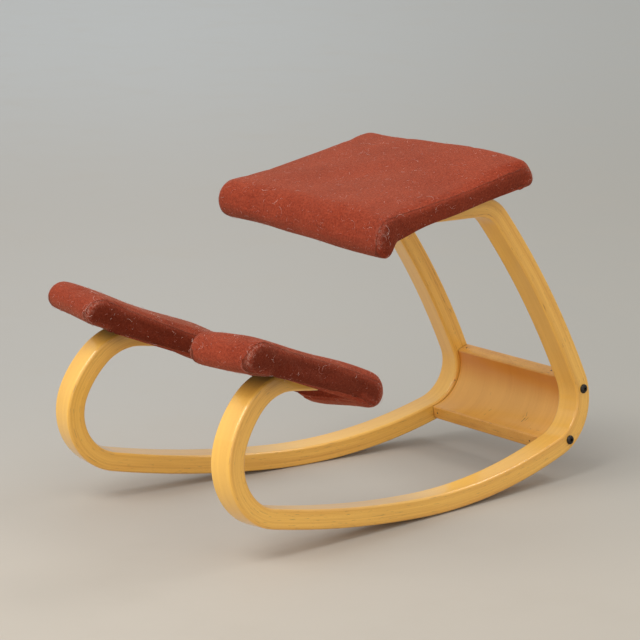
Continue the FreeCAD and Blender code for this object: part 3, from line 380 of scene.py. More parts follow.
# Each barrel nut as (degrees round the bend, radius of its middle), and how deep the bolts reach.
NUT_ANGLES = ((10.6, 0.0680), (-58.6, 0.0710))
NUT_DEPTH = RUNNER_HALF_WIDTH + 0.027
NUT_RADIUS = 0.006
NUT_LENGTH = 0.011
BORE_GAP = 0.0002
BORE_LENGTH = 0.03
# Pins stand further in on the right than on the left, and a hair past the lower and upper face.
PIN_RADIUS = 0.0015
PIN_LENGTH = 0.013
PIN_INSETS = {1: 0.024, -1: 0.010}
PIN_STANDS = (0.0004, -0.0002)


def on_bend(angle, radius):
    return CROSSBAR_CENTRE + Vector((0, math.cos(angle), math.sin(angle))) * radius


def runner_face(point):
    """How far from the middle of the chair the inner face of a runner stands at this point."""
    away = RUNNER_TURN.col[0]
    return RUNNER_CONTACT.x - (RUNNER_HALF_WIDTH + away.y * (point.y - RUNNER_CONTACT.y)
                               + away.z * (point.z - RUNNER_CONTACT.z)) / away.x


def panel_outline():
    """Section of the panel: two arcs joined by two ends with rounded corners."""
    half = CROSSBAR_THICKNESS / 2
    low, high = CROSSBAR_ENDS
    inner, outer = CROSSBAR_RADIUS - half, CROSSBAR_RADIUS + half
    points = []
    for radius, first, last, side in ((inner, low, high, -1), (outer, high, low, 1)):
        middle = radius - side * CROSSBAR_EDGE
        back = CROSSBAR_EDGE / middle * (1 if last > first else -1)
        for angle in np.linspace(first + back, last - back, 41):
            points.append(on_bend(angle, radius))
        turn = 1 if last > first else -1
        along = Vector((0, -math.sin(last - back), math.cos(last - back))) * turn
        out = Vector((0, math.cos(last - back), math.sin(last - back))) * side
        for lean in np.radians((22, 45, 68, 90)):
            points.append(on_bend(last - back, middle)
                          + (out * math.cos(lean) + along * math.sin(lean)) * CROSSBAR_EDGE)
        along, out = -along, -out
        other = radius - side * (CROSSBAR_THICKNESS - CROSSBAR_EDGE)
        for lean in np.radians((0, 22, 45, 68)):
            points.append(on_bend(last - back, other)
                          + (out * math.sin(lean) - along * math.cos(lean)) * CROSSBAR_EDGE)
    return points


def rod(name, radius, length, place, direction, faces=24):
    """Short round rod from a place along a direction, both ends slightly rounded."""
    mesh = bmesh.new()
    bmesh.ops.create_cone(mesh, cap_ends=True, segments=faces, radius1=radius, radius2=radius,
                          depth=length, matrix=Matrix.Translation((0, 0, length / 2)))
    rims = [edge for edge in mesh.edges if abs(edge.verts[0].co.z - edge.verts[1].co.z) < 1e-7]
    bmesh.ops.bevel(mesh, geom=rims, offset=radius * 0.08, segments=2, affect="EDGES")
    turn = Vector(direction).to_track_quat("Z", "Y").to_matrix().to_4x4()
    mesh.transform(Matrix.Translation(place) @ turn)
    data = bpy.data.meshes.new(name)
    mesh.to_mesh(data)
    mesh.free()
    return data


def joined(name, meshes):
    whole = bmesh.new()
    for mesh in meshes:
        whole.from_mesh(mesh)
        bpy.data.meshes.remove(mesh)
    data = bpy.data.meshes.new(name)
    whole.to_mesh(data)
    whole.free()
    return data


def nut_seat(side, angle, radius):
    """Inner end of a barrel nut in the panel and its way out through the convex face."""
    spot = on_bend(math.radians(angle), CROSSBAR_RADIUS)
    drift = RUNNER_TURN @ Vector((-NUT_DEPTH, spot.y - RUNNER_CONTACT.y, spot.z - RUNNER_CONTACT.z))
    x = side * (drift.x + RUNNER_CONTACT.x)
    way = Vector((0, math.cos(math.radians(angle)), math.sin(math.radians(angle))))
    return Vector((x, 0, 0)) + on_bend(math.radians(angle), radius - NUT_LENGTH / 2), way


panel = bmesh.new()
rows = []
for side in (1, -1):
    rows.append([panel.verts.new((side * (runner_face(point) - JOINT_GAP), point.y, point.z))
                 for point in panel_outline()])
count = len(rows[0])
for index in range(count):
    after = (index + 1) % count
    panel.faces.new((rows[0][index], rows[0][after], rows[1][after], rows[1][index]))
panel.faces.new(rows[0])
panel.faces.new(rows[1])
bmesh.ops.recalc_face_normals(panel, faces=panel.faces)
crossbar_mesh = bpy.data.meshes.new("crossbar_panel")
panel.to_mesh(crossbar_mesh)
panel.free()
crossbar_panel = new_piece("crossbar_panel", crossbar_mesh)

seats = [nut_seat(side, angle, radius) for side in (1, -1) for angle, radius in NUT_ANGLES]
bore_rods = [rod("bore", NUT_RADIUS + BORE_GAP, BORE_LENGTH, place, way, 32) for place, way in seats]
bores = new_piece("nut_bores", joined("nut_bores", bore_rods))
boring = crossbar_panel.modifiers.new("bores", "BOOLEAN")
boring.object = bores
boring.operation = "DIFFERENCE"
boring.solver = "EXACT"
with_bores = crossbar_panel.evaluated_get(bpy.context.evaluated_depsgraph_get())
bored = bpy.data.meshes.new_from_object(with_bores)
crossbar_panel.modifiers.remove(boring)
crossbar_panel.data = bored
bpy.data.objects.remove(bores)
bpy.data.meshes.remove(crossbar_mesh)
bored.shade_smooth()
bored.set_sharp_from_angle(angle=math.radians(28))

nuts = joined("barrel_nuts", [rod("nut", NUT_RADIUS, NUT_LENGTH, place, way) for place, way in seats])
barrel_nuts = new_piece("barrel_nuts", nuts)

pins = []
for side in (1, -1):
    for angle, turn, stand in zip(CROSSBAR_ENDS, (1, -1), PIN_STANDS):
        end = on_bend(angle, CROSSBAR_RADIUS)
        inward = Vector((0, -math.sin(angle), math.cos(angle))) * turn
        end.x = side * (runner_face(end) - PIN_INSETS[side])
        pins.append(rod("pin", PIN_RADIUS, PIN_LENGTH, end - inward * stand, inward, 12))
edge_pins = new_piece("edge_pins", joined("edge_pins", pins))
edge_pins.data.shade_smooth()

crossbar_finish = Finish("laminated_beech_panel")
crossbar_spot = crossbar_finish.position()
crossbar_x, crossbar_y, crossbar_z = crossbar_finish.axes(crossbar_spot)
crossbar_spoke = crossbar_finish.vector("SUBTRACT", crossbar_spot, CROSSBAR_CENTRE)
_, spoke_y, spoke_z = crossbar_finish.axes(crossbar_spoke)
spoke_length = (spoke_y * spoke_y + spoke_z * spoke_z) ** 0.5
spoke_angle = spoke_z.math("ARCTAN2", spoke_z, spoke_y)
round_bend = spoke_angle * CROSSBAR_RADIUS
# The veneers lie open on the end faces, from 52.5 degrees to either side of the middle.
open_ends = abs(spoke_angle + math.radians(27.05)).step(math.radians(50.5), math.radians(52.5))
panel_colour, panel_roughness, panel_normal = beech(
    crossbar_finish, round_bend, spoke_length - CROSSBAR_RADIUS, crossbar_x, open_ends,
    (0.88, 0.45, 0.085, 1), (0.62, 0.24, 0.03, 1))
# Painted shade along the joints where the panel meets the runners.
mirrored = crossbar_finish.point(abs(crossbar_x), crossbar_y, crossbar_z)
beside = crossbar_finish.vector("SUBTRACT", mirrored, RUNNER_CONTACT)
from_runner = crossbar_finish.vector("DOT_PRODUCT", beside, RUNNER_TURN.col[0], "Value")
joint_shade = from_runner.step(-0.0222, -0.0206) * 0.75
panel_colour = crossbar_finish.blend(joint_shade, panel_colour, (0.12, 0.04, 0.01, 1))
# The upper part of the panel is painted a deeper orange: painted shade and painted reflection.
upper_shade_and_reflection = spoke_angle.step(-0.45, 0.30) * (1 - open_ends) * 0.75
panel_colour = crossbar_finish.blend(upper_shade_and_reflection, panel_colour, (0.62, 0.185, 0.010, 1))

# Scratches low on the hollow face as (across, round the bend, lean, half length, depth).
SCRATCH_WIDTH = 0.0019
HOLLOW_FACE = 0.0655
scratches = ((0.0610, -0.0672, 1.41, 0.0075, 0.85), (0.0595, -0.0545, 1.90, 0.0070, 0.45),
             (0.0660, -0.0640, 1.35, 0.0060, 0.50), (0.0560, -0.0600, 1.50, 0.0040, 0.30),
             (-0.0160, -0.0672, 1.20, 0.0040, 0.40), (-0.0180, -0.0800, 1.30, 0.0030, 0.35),
             (0.0900, -0.0830, 0.20, 0.0014, 0.60), (0.1050, -0.0810, 0.30, 0.0040, 0.40))
wobble = crossbar_finish.noise(crossbar_spot, 900.0, 3.0) * 0.0016
for mark_x, mark_round, lean, length, depth in scratches:
    over = crossbar_x - mark_x
    up_bend = round_bend - mark_round
    lengthwise = abs(over * math.cos(lean) + up_bend * math.sin(lean))
    sideways = abs(up_bend * math.cos(lean) - over * math.sin(lean))
    mark = (lengthwise.step(length, length * 0.4) * (sideways + wobble).step(SCRATCH_WIDTH, 0.0009)
            * (spoke_length < HOLLOW_FACE))
    panel_colour = crossbar_finish.blend(mark * depth, panel_colour, (0.10, 0.04, 0.015, 1))
panel_material = crossbar_finish.surface(
    Base_Color=panel_colour, Roughness=panel_roughness, Normal=panel_normal, Coat_Weight=0.3,
    Coat_Roughness=0.22)

pin_finish = Finish("pin_wood")
pin_colour = pin_finish.blend(pin_finish.noise(pin_finish.position(), 900.0),
                              (0.045, 0.022, 0.010, 1), (0.13, 0.065, 0.028, 1))
pin_material = pin_finish.surface(Base_Color=pin_colour, Roughness=0.6)

for piece, material, node, slot in ((crossbar_panel, panel_material, "crossbar", "laminated_beech_panel"),
                                    (edge_pins, pin_material, "crossbar_edge_pins", "pin_wood")):
    piece.data.materials.clear()
    piece.data.materials.append(material)
    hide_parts(node)
    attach(piece, "root")


# Bolts and nuts: blackened steel bolts with domed socket heads, a little rubbed on top, and
# zinc-plated nuts inside the panel and the boards.

def worn_steel(name, dark, bright, wear):
    finish = Finish(name)
    spot = finish.position()
    rubbed = finish.noise(spot, 420.0, 4.0, 0.6).step(1 - wear, 1.05 - wear * 0.4)
    stains = finish.noise(spot, 160.0, 3.0)
    stained = finish.blend(stains, dark, tuple(value * 0.6 for value in dark[:3]) + (1,))
    colour = finish.blend(rubbed, stained, bright)
    normal = finish.bump(finish.noise(spot, 2200.0, 3.0), 0.00004)
    roughness = 0.36 + stains * 0.2 - rubbed * 0.1
    return finish.surface(Base_Color=colour, Metallic=0.85, Roughness=roughness, Normal=normal)


dark_steel = worn_steel("dark_steel", (0.055, 0.048, 0.042, 1), (0.32, 0.29, 0.26, 1), 0.42)
zinc_steel = worn_steel("zinc_steel", (0.50, 0.50, 0.48, 1), (0.78, 0.78, 0.75, 1), 0.5)
for name in ("crossbar_bolts", "seat_bolts", "knee_pad_bolts_right", "knee_pad_bolts_left"):
    finish_node(name, dark_steel)
for name in ("seat_tee_nuts", "knee_pad_tee_nuts_right", "knee_pad_tee_nuts_left"):
    finish_node(name, zinc_steel)
barrel_nuts.data.materials.append(zinc_steel)
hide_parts("crossbar_barrel_nuts")
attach(barrel_nuts, "root")


# Boards and linings: pressed plywood under each cushion, its underside closed with thin black
# needled cloth.

board_finish = Finish("board_plywood")
board_spot = board_finish.position()
board_x, board_y, board_z = board_finish.axes(board_spot)
board_stretch = board_finish.point(board_x * 12, board_y * 260, board_z * 420)
board_grain = board_finish.noise(board_stretch, 1.0, 4.0, 0.6)
board_colour = board_finish.blend(board_grain.step(0.3, 0.75), (0.62, 0.46, 0.28, 1), (0.40, 0.26, 0.13, 1))
board_material = board_finish.surface(Base_Color=board_colour, Roughness=0.6 + board_grain * 0.2,
                                      Normal=board_finish.bump(board_grain, 0.0001))

lining_finish = Finish("lining_cloth")
lining_spot = lining_finish.position()
needled = lining_finish.noise(lining_spot, 1400.0, 3.0, 0.7)
lining_colour = lining_finish.blend(needled, (0.010, 0.010, 0.011, 1), (0.050, 0.049, 0.047, 1))
lining_material = lining_finish.surface(Base_Color=lining_colour, Roughness=0.9, Sheen_Weight=0.3,
                                        Normal=lining_finish.bump(needled, 0.0003))
for cushion_name, suffix in (("seat", ""), ("knee_pad", "_right"), ("knee_pad", "_left")):
    finish_node(f"{cushion_name}_board{suffix}", board_material)
    finish_node(f"{cushion_name}_lining{suffix}", lining_material)


# Seat and knee cushions: foam wrapped in one length of felted rust-red wool that runs over the
# front, the top and the rear, closed at each side by a panel sewn in round its edge, and turned
# in under the board as a flat hem.

# UNDERCUT is the share of an end's height that its lower curve takes, and HOLLOW_TOP the top of
# the hollow for the board. While a cushion swells, the cloth of that hollow is held still: from
# HELD_FOOT above the lower rim up to HELD_TOP, and ROLL_MARGIN past the rims of both rolls.
UNDERCUT = 0.42
HOLLOW_TOP = 0.003
HELD_FOOT = 0.002
HELD_TOP = 0.009
ROLL_MARGIN = 0.004


class Cushion:
    """Sizes of one cushion in metres and its place on the chair."""

    def __init__(self, place, width, front, rear, top, drops, rolls, side_drop, side_wall, crown,
                 rounding):
        self.place = place
        self.width = width
        self.lengths = {"front": front, "rear": rear}
        self.top = top
        self.drops = dict(zip(("front", "rear"), drops))
        self.rolls = dict(zip(("front", "rear"), rolls))
        self.front_rim = self.rolls["front"] - front
        self.rear_rim = rear - self.rolls["rear"]
        self.side_drop = side_drop
        self.wall = width / 2 - side_wall
        self.crown = crown
        self.rounding = rounding

    def over_board(self, y):
        """Which of the given y lie between the front and the rear roll."""
        return (y > self.front_rim - ROLL_MARGIN) & (y < self.rear_rim + ROLL_MARGIN)

    def roll_end(self, end, sign, inset, bow, hollow):
        """One end of the side profile from the top round to the rim, as (y, z) points."""
        length, drop, roll = self.lengths[end], self.drops[end], self.rolls[end]
        lower = (self.top + drop) * UNDERCUT
        upper = self.top + drop - lower + bow
        level = lower - drop
        points = []
        for radius, angles in ((upper, np.linspace(90, 0, 13)), (lower, np.linspace(-8, -90, 11))):
            for angle in np.radians(angles):
                points.append((sign * (length - radius + (radius - inset) * math.cos(angle)),
                               level + (radius - inset) * math.sin(angle)))
        rim = (sign * (length - roll), inset - self.side_drop)
        points += [tuple(np.array(points[-1]) * (1 - t) + np.array(rim) * t) for t in (0.35, 0.7)]
        points.append(rim)
        points.append((rim[0], HOLLOW_TOP) if hollow else rim)
        return points

    def profile(self, inset, bow, hollow):
        front = self.roll_end("front", -1, inset, bow, hollow)
        rear = self.roll_end("rear", 1, inset, bow, hollow)
        top = [(y, front[0][1]) for y in np.linspace(front[0][0], rear[0][0], 30)[1:-1]]
        under = [(y, front[-1][1]) for y in np.linspace(rear[-1][0], front[-1][0], 24)[1:-1]]
        return front[::-1] + top + rear + under

    def shell(self, inset):
        """Closed mesh of the cushion, drawn in by an inset all round, hollow under the board."""
        flank = self.width / 2 - self.rounding
        stations = []
        for angle in np.radians((0, 18, 36, 54, 72)):
            stations.append((flank + self.rounding * math.cos(angle) - inset,
                             self.rounding * (1 - math.sin(angle)), 0.0, False))
        # The side wall stops and the hollow starts within one millimetre.
        stations.append((self.wall + 0.0006, 0.0, 0.0, False))
        for share in np.linspace(1, 0, 9):
            x = (self.wall - 0.0004) * share
            stations.append((x, 0.0, self.crown * (1 - share ** 2), True))
        stations += [(-x, draw, bow, hollow) for x, draw, bow, hollow in stations[-2::-1]]
        rows = [[(x, y, z) for y, z in self.profile(inset + draw, bow, hollow)]
                for x, draw, bow, hollow in stations]
        count = len(rows[0])
        mesh = bmesh.new()
        grid = [[mesh.verts.new(point) for point in row] for row in rows]
        for first, second in zip(grid, grid[1:]):
            for index in range(count):
                after = (index + 1) % count
                mesh.faces.new((first[index], first[after], second[after], second[index]))
        mesh.faces.new(grid[0])
        mesh.faces.new(grid[-1])
        bmesh.ops.remove_doubles(mesh, verts=mesh.verts, dist=1e-6)
        bmesh.ops.triangulate(mesh, faces=mesh.faces)
        bmesh.ops.recalc_face_normals(mesh, faces=mesh.faces)
        return mesh

    def seam_path(self, side):
        """Points of the seam between the long piece of cloth and one side panel."""
        corners = []
        for end, sign, degrees in (("front", -1, 50), ("rear", 1, 14)):
            turn = math.radians(degrees)
            draw = self.rounding * (1 - math.sin(turn))
            x = side * (self.width / 2 - self.rounding * (1 - math.cos(turn)))
            half = [Vector((x, y, z)) for y, z in self.roll_end(end, sign, draw, 0.0, False)[:-2]]
            corners += half[::-1] if end == "front" else half
        path = []
        for first, second in zip(corners, corners[1:]):
            pieces = max(1, int((second - first).length / 0.001))
            path += [first.lerp(second, step / pieces) for step in range(pieces)]
        return path + [corners[-1]]


# Pressure in a cushion and the last frame of its swelling.
PRESSURE = 4.0
LAST_FRAME = 20


def puff(piece, cushion, swell, voxel):
    """Remeshes a shell, swells it as cloth under pressure and keeps its hollow as it was."""
    scene = bpy.context.scene
    for other in bpy.context.selected_objects:
        other.select_set(False)
    bpy.context.view_layer.objects.active = piece
    piece.select_set(True)
    remesh = piece.modifiers.new("remesh", "REMESH")
    remesh.mode = "VOXEL"
    remesh.voxel_size = voxel
    bpy.ops.object.modifier_apply(modifier="remesh")
    before = np.array([vertex.co for vertex in piece.data.vertices])
    x, y, z = before.T
    still = ((z > HELD_FOOT - cushion.side_drop) & (z < HELD_TOP)
             & (np.abs(x) < cushion.wall + 0.004) & cushion.over_board(y))
    held = piece.vertex_groups.new(name="held")
    held.add(np.flatnonzero(still).tolist(), 1.0, "REPLACE")
    cloth = piece.modifiers.new("cloth", "CLOTH")
    cloth.settings.use_pressure = True
    cloth.settings.uniform_pressure_force = PRESSURE
    cloth.settings.vertex_group_mass = "held"
    cloth.settings.effector_weights.gravity = 0.0
    cloth.settings.quality = 5
    cloth.collision_settings.use_self_collision = False
    cloth.point_cache.frame_start = 1
    cloth.point_cache.frame_end = LAST_FRAME
    for step in range(1, LAST_FRAME + 1):
        scene.frame_set(step)
    evaluated = piece.evaluated_get(bpy.context.evaluated_depsgraph_get())
    after = np.array([vertex.co for vertex in evaluated.data.vertices])
    piece.modifiers.remove(cloth)
    scene.frame_set(1)
    move = after - before
    length = np.linalg.norm(move, axis=1, keepdims=True)
    move *= np.minimum(1, swell / np.maximum(length, 1e-9))
    piece.data.vertices.foreach_set("co", (before + move).ravel())
    finer = piece.modifiers.new("finer", "SUBSURF")
    finer.levels = finer.render_levels = 1
    bpy.ops.object.modifier_apply(modifier="finer")


def within(points, outline):
    """Which points lie inside a closed outline, both seen from the side."""
    y, z = points[:, 1], points[:, 2]
    inside = np.zeros(len(points), bool)
    for first, second in zip(outline, outline[1:] + outline[:1]):
        crosses = (first.z > z) != (second.z > z)
        if first.z != second.z:
            edge_y = (second.y - first.y) * (z - first.z) / (second.z - first.z) + first.y
            inside ^= crosses & (y < edge_y)
    return inside


def bell(distance, spread):
    """1 at no distance, falling away smoothly over the spread."""
    return np.exp(-(distance / spread) ** 2)


# Slack lies in long waves. A seam is a groove with a low welt along it, and it is worn most near
# the front and the rear of a cushion.
SLACK_WAVES = 14
SLACK_HEIGHT = 0.00022
SEAM_DEPTH, SEAM_SPREAD = 0.0009, 0.0022
WELT_HEIGHT, WELT_SPREAD, WELT_PLACE = 0.0005, 0.003, 0.005
WEAR_SPREAD = 0.007
WEAR_REACH = 0.035


def dress(piece, cushion, dips, pulls, seed):
    """Seams, hollows of use and slack in the wool; leaves seam distance and wear on the mesh."""
    mesh = piece.data
    outline = cushion.seam_path(1)
    path = outline + cushion.seam_path(-1)
    tree = KDTree(len(path))
    for index, point in enumerate(path):
        tree.insert(point, index)
    tree.balance()
    count = len(mesh.vertices)
    normals = np.zeros(count * 3)
    mesh.vertex_normals.foreach_get("vector", normals)
    normals = normals.reshape(-1, 3)
    points = np.array([vertex.co for vertex in mesh.vertices])
    x, y, z = points.T
    seam = np.array([-tree.find(point)[2] for point in points])
    flank = np.abs(x) > cushion.width / 2 - cushion.rounding * 1.4
    seam[within(points, outline) & flank] *= -1

    chance = random.Random(seed)
    waves = np.zeros(count)
    for _ in range(SLACK_WAVES):
        way = np.array([chance.uniform(-1, 1) for _ in range(3)])
        waves += np.sin(points @ (way * chance.uniform(25, 70)) + chance.uniform(0, 6.3))
    lift = waves * SLACK_HEIGHT
    lift -= SEAM_DEPTH * bell(seam, SEAM_SPREAD)
    lift += WELT_HEIGHT * bell(np.abs(seam) - WELT_PLACE, WELT_SPREAD)
    for dip_x, dip_y, spread_x, spread_y, depth in dips:
        lift -= depth * bell(x - dip_x, spread_x) * bell(y - dip_y, spread_y) * np.clip(normals[:, 2], 0, 1)
    hidden = (z < HELD_TOP) & (np.abs(x) < cushion.wall + 0.003)
    lift[hidden & (normals[:, 2] < 0.3) & (z > -cushion.side_drop)] = 0
    points += normals * lift[:, None]

    moved = np.zeros_like(points)
    for centre, spread, move in pulls:
        nearness = np.exp(-(((points - centre) / spread) ** 2).sum(axis=1))
        moved += nearness[:, None] * np.array(move)
    moved[hidden & cushion.over_board(y) & (z > HELD_FOOT - cushion.side_drop)] = 0
    points += moved
    mesh.vertices.foreach_set("co", points.ravel())

    ends = np.maximum(-y - cushion.lengths["front"], y - cushion.lengths["rear"]) + WEAR_REACH
    wear = bell(seam, WEAR_SPREAD) * np.clip(ends / 0.03, 0.12, 1) * (z > -cushion.side_drop)
    for name, values in (("seam", seam), ("wear", wear)):
        mesh.attributes.new(name, "FLOAT", "POINT").data.foreach_set("value", values)
    mesh.transform(cushion.place)
    mesh.shade_smooth()


wool_finish = Finish("wool_cloth")
wool_spot = wool_finish.position()
seam_side = wool_finish.add("ShaderNodeAttribute", {"attribute_name": "seam"}, None, "Fac")
seam_distance = abs(seam_side)
wear_mask = wool_finish.add("ShaderNodeAttribute", {"attribute_name": "wear"}, None, "Fac")
felt = wool_finish.noise(wool_spot, 320.0, 6.0, 0.72)
heather = wool_finish.noise(wool_spot, 620.0, 4.0, 0.75)
cloudy = wool_finish.noise(wool_spot, 12.0, 4.0, 0.6)
wool_colour = wool_finish.blend(felt.step(0.36, 0.66) * 0.7 + cloudy.step(0.3, 0.8) * 0.3,
                                (0.190, 0.023, 0.010, 1), (0.390, 0.062, 0.027, 1))
pale_hairs = heather.step(0.56, 0.68) * 0.42
dark_hairs = heather.step(0.45, 0.34) * 0.55
# Painted shade on the side panels of the cushions, deeper on the knee pads.
knee_pads = wool_finish.axes(wool_spot)[2] < 0.38
side_panel_shade = seam_side.step(-0.001, 0.011) * (0.38 + knee_pads * 0.22)
# The seam groove is also painted a little darker, a painted shade.
seam_groove = seam_distance.step(0.0020, 0.0003)
rubbed = wear_mask * wool_finish.noise(wool_spot, 330.0, 6.0, 0.8).step(0.47, 0.66)
for mask, tint in ((pale_hairs, (0.60, 0.19, 0.11, 1)), (dark_hairs, (0.09, 0.010, 0.005, 1)),
                   (side_panel_shade, (0.055, 0.006, 0.001, 1)), (seam_groove * 0.22, (0.06, 0.010, 0.007, 1)),
                   (rubbed * 0.6, (0.60, 0.38, 0.30, 1))):
    wool_colour = wool_finish.blend(mask, wool_colour, tint)
puckers = wool_finish.noise(wool_spot, 120.0, 2.0) * seam_distance.step(0.012, 0.0)
seam_height = puckers * 0.4 - seam_groove * 0.7 + seam_distance.step(0.0070, 0.0030) * 0.4
seam_normal = wool_finish.bump(seam_height, 0.0016)
wool_height = felt * 0.9 + heather * 0.5 + cloudy * 0.6
wool_material = wool_finish.surface(
    Base_Color=wool_colour, Roughness=0.95, Specular_IOR_Level=0.08, Sheen_Weight=0.31,
    Sheen_Roughness=0.40, Sheen_Tint=(1.0, 0.50, 0.33, 1),
    Normal=wool_finish.bump(wool_height, 0.0010, 1.0, seam_normal))


# How much more lint a fully worn seam carries, the bend of a hair and its least and greatest size.
SEAM_THICKENING = 14
HAIR_ARC = math.radians(115)
HAIR_SIZES = (0.35, 1.6)


def lint(name, cushion_piece, slot, **sizes):
    """Short bent wool hairs over a cushion, thicker along its worn seams."""
    group = bpy.data.node_groups.new(name, "GeometryNodeTree")
    kinds = {"density": "Float", "reach": "Float", "thickness": "Float", "stand": "Float", "seed": "Int"}
    group.interface.new_socket("Geometry", in_out="INPUT", socket_type="NodeSocketGeometry")
    inputs = {key: group.interface.new_socket(key, in_out="INPUT", socket_type=f"NodeSocket{kind}")
              for key, kind in kinds.items()}
    group.interface.new_socket("Geometry", in_out="OUTPUT", socket_type="NodeSocketGeometry")
    tree = Nodes(group)
    source = group.nodes.new("NodeGroupInput")
    given = {socket.name: Value(tree, socket) for socket in source.outputs}
    worn = tree.add("GeometryNodeInputNamedAttribute", {"data_type": "FLOAT"}, {"Name": "wear"})
    spread = tree.add("GeometryNodeDistributePointsOnFaces", {"distribute_method": "RANDOM"},
                      {"Mesh": given["Geometry"], "Seed": given["seed"],
                       "Density": given["density"] * (worn * worn * SEAM_THICKENING + 1)})
    facing = Value(tree, spread.socket.node.outputs["Rotation"])
    arc = tree.add("GeometryNodeCurveArc", {"mode": "RADIUS"},
                   {"Resolution": 6, "Radius": given["reach"], "Sweep Angle": HAIR_ARC})
    ring = tree.add("GeometryNodeCurvePrimitiveCircle", {"mode": "RADIUS"},
                    {"Resolution": 3, "Radius": given["thickness"]})
    hair = tree.add("GeometryNodeCurveToMesh", None, {"Curve": arc, "Profile Curve": ring})
    lean = tree.add("FunctionNodeRandomValue", {"data_type": "FLOAT_VECTOR"},
                    {0: (-1, -1, -3.14), 1: (1, 1, 3.14), "Seed": given["seed"]})
    lean = tree.vector("MULTIPLY", lean, tree.point(given["stand"], given["stand"], 1.0))
    turned = tree.add("FunctionNodeRotateRotation", {"rotation_space": "LOCAL"}, {0: facing, 1: lean})
    size = tree.add("FunctionNodeRandomValue", {"data_type": "FLOAT"},
                    {2: HAIR_SIZES[0], 3: HAIR_SIZES[1], "Seed": given["seed"]}, 1)
    grown = tree.add("GeometryNodeInstanceOnPoints", None,
                     {"Points": spread, "Instance": hair, "Rotation": turned, "Scale": size})
    real = tree.add("GeometryNodeRealizeInstances", None, {"Geometry": grown})
    done = tree.add("GeometryNodeSetMaterial", None, {"Geometry": real, "Material": lint_material})
    result = group.nodes.new("NodeGroupOutput")
    group.links.new(done.socket, result.inputs[0])
    piece = new_piece(name, cushion_piece.data.copy())
    modifier = piece.modifiers.new("lint", "NODES")
    modifier.node_group = group
    for key, value in sizes.items():
        modifier[inputs[key].identifier] = value
    with_hairs = piece.evaluated_get(bpy.context.evaluated_depsgraph_get())
    grown_mesh = bpy.data.meshes.new_from_object(with_hairs)
    piece.modifiers.remove(modifier)
    piece.data = grown_mesh
    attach(piece, "root")


lint_finish = Finish("wool_lint")
lint_colour = lint_finish.blend(lint_finish.noise(lint_finish.position(), 60.0, 3.0).step(0.42, 0.68),
                                (0.50, 0.15, 0.10, 1), (0.80, 0.58, 0.50, 1))
lint_material = lint_finish.surface(Base_Color=lint_colour, Roughness=0.8, Sheen_Weight=0.3)


# Gap to the side walls, width, and upper and lower face in metres from the board's underside.
HEM_GAP = 0.001
HEM_WIDTH = 0.009
HEM_LEVELS = (-0.0002, -0.0009)


def hem(name, cushion):
    """Wool turned in and stapled under the board: a flat frame between side walls and lining."""
    reach = cushion.wall - HEM_GAP
    front, rear = cushion.front_rim + HEM_GAP, cushion.rear_rim - HEM_GAP
    upper, lower = HEM_LEVELS
    mesh = bmesh.new()
    rings = []
    for inset, level in ((0, upper), (0, lower), (HEM_WIDTH, lower), (HEM_WIDTH, upper)):
        corners = ((inset - reach, front + inset), (reach - inset, front + inset),
                   (reach - inset, rear - inset), (inset - reach, rear - inset))
        rings.append([mesh.verts.new((x, y, level)) for x, y in corners])
    for ring, following in zip(rings, rings[1:] + rings[:1]):
        for index in range(4):
            after = (index + 1) % 4
            mesh.faces.new((ring[index], ring[after], following[after], following[index]))
    bmesh.ops.recalc_face_normals(mesh, faces=mesh.faces)
    mesh.transform(cushion.place)
    data = bpy.data.meshes.new(name)
    mesh.to_mesh(data)
    mesh.free()
    data.materials.append(wool_material)
    piece = new_piece(name, data)
    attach(piece, "root")


def upholster(name, cushion, voxel, swell, dips, pulls, seed, stood_for, slot):
    """A finished cushion with its hem and its hairs, in the place of the given CAD nodes."""
    shell = bpy.data.meshes.new(name)
    solid = cushion.shell(swell * 0.6)
    solid.to_mesh(shell)
    solid.free()
    piece = new_piece(name, shell)
    puff(piece, cushion, swell, voxel)
    dress(piece, cushion, dips, pulls, seed)
    piece.data.materials.append(wool_material)
    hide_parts(*stood_for)
    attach(piece, "root")
    hem(name + "_hem", cushion)
    lint(name + "_fuzz", piece, slot, density=9000.0, reach=0.0018, thickness=0.00010, stand=0.9,
         seed=seed)
    lint(name + "_lint", piece, slot, density=1100.0, reach=0.0060, thickness=0.00012, stand=0.10,
         seed=seed + 1)


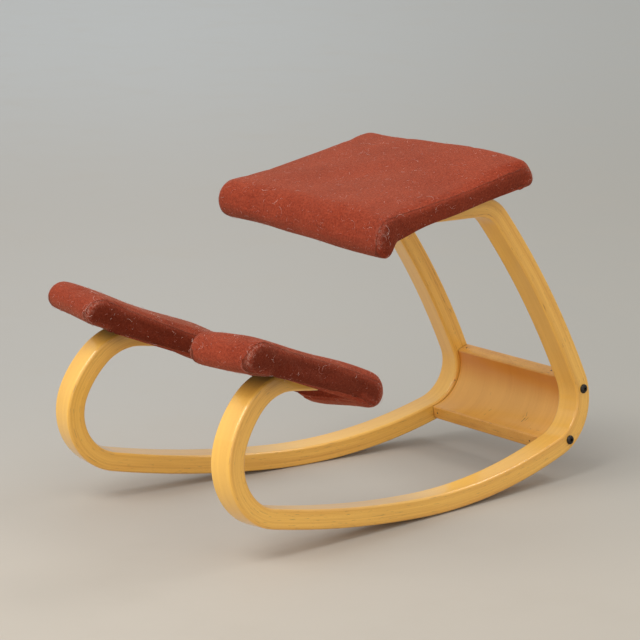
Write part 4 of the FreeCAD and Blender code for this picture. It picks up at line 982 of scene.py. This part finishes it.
# Each dip is (x, y, spread in x, spread in y, depth), and each pull (centre, spread, move).
SEAT_PLACE = Matrix.Translation((0, 0.0718, 0.4474)) @ Matrix.Rotation(math.radians(11), 4, "X")
seat_sizes = Cushion(SEAT_PLACE, width=0.386, front=0.158, rear=0.156, top=0.031, drops=(0.026, 0.013),
                     rolls=(0.040, 0.036), side_drop=0.010, side_wall=0.012, crown=0.004, rounding=0.013)
seat_dips = [(0.0, -0.01, 0.10, 0.08, 0.0030), (0.15, 0.0, 0.05, 0.10, 0.0020)]
seat_pulls = [((-0.17, -0.13, 0.02), (0.09, 0.07, 0.04), (-0.003, -0.003, 0.004)),
              ((0.17, -0.14, -0.02), (0.14, 0.06, 0.03), (-0.001, -0.002, -0.0090)),
              ((0.08, 0.14, 0.03), (0.13, 0.10, 0.03), (0.0, 0.002, 0.0065)),
              ((-0.20, 0.17, 0.03), (0.10, 0.12, 0.04), (0.007, 0.002, -0.001)),
              ((-0.18, 0.08, 0.03), (0.09, 0.06, 0.03), (0.0, 0.0, 0.0030)),
              ((0.193, 0.156, 0.02), (0.035, 0.035, 0.03), (-0.004, -0.006, -0.001)),
              ((0.190, -0.01, 0.03), (0.05, 0.08, 0.02), (0.0, 0.0, -0.003))]
upholster("seat_cushion", seat_sizes, voxel=0.004, swell=0.003, dips=seat_dips, pulls=seat_pulls, seed=3,
          stood_for=("seat_cover", "seat_foam"), slot="wool_cloth")

PAD_SPOT = Matrix.Translation((0, -0.2898, 0.2446))
PAD_TILT = Matrix.Rotation(math.radians(-22), 4, "X")
pad_dips = [(0, -0.005, 0.05, 0.06, 0.003)]
pad_pulls = {"right": [((0.0, -0.12, -0.012), (0.12, 0.05, 0.02), (0.0, -0.002, -0.0050)),
                       ((-0.04, 0.10, -0.020), (0.05, 0.045, 0.02), (0.0, -0.004, -0.0070)),
                       ((0.05, 0.05, 0.030), (0.06, 0.08, 0.03), (0.0, 0.0, 0.0055))],
             "left": [((0.0, -0.12, 0.010), (0.12, 0.08, 0.05), (0.0, 0.0, 0.0055)),
                      ((-0.02, 0.10, -0.020), (0.05, 0.045, 0.02), (0.0, -0.003, -0.0040))]}
for side, name in ((1, "right"), (-1, "left")):
    runner_place = (Matrix.Translation((side * RUNNER_CONTACT.x, RUNNER_CONTACT.y, RUNNER_CONTACT.z))
                    @ runner_turn(side).to_4x4())
    pad_sizes = Cushion(runner_place @ PAD_SPOT @ PAD_TILT, width=0.134, front=0.138, rear=0.132,
                        top=0.034, drops=(0.013, 0.015), rolls=(0.056, 0.054), side_drop=0.009,
                        side_wall=0.013, crown=0.003, rounding=0.012)
    upholster(f"knee_cushion_{name}", pad_sizes, voxel=0.0033, swell=0.003, dips=pad_dips,
              pulls=pad_pulls[name], seed=11 + side,
              stood_for=(f"knee_pad_cover_{name}", f"knee_pad_foam_{name}"), slot="wool_cloth")
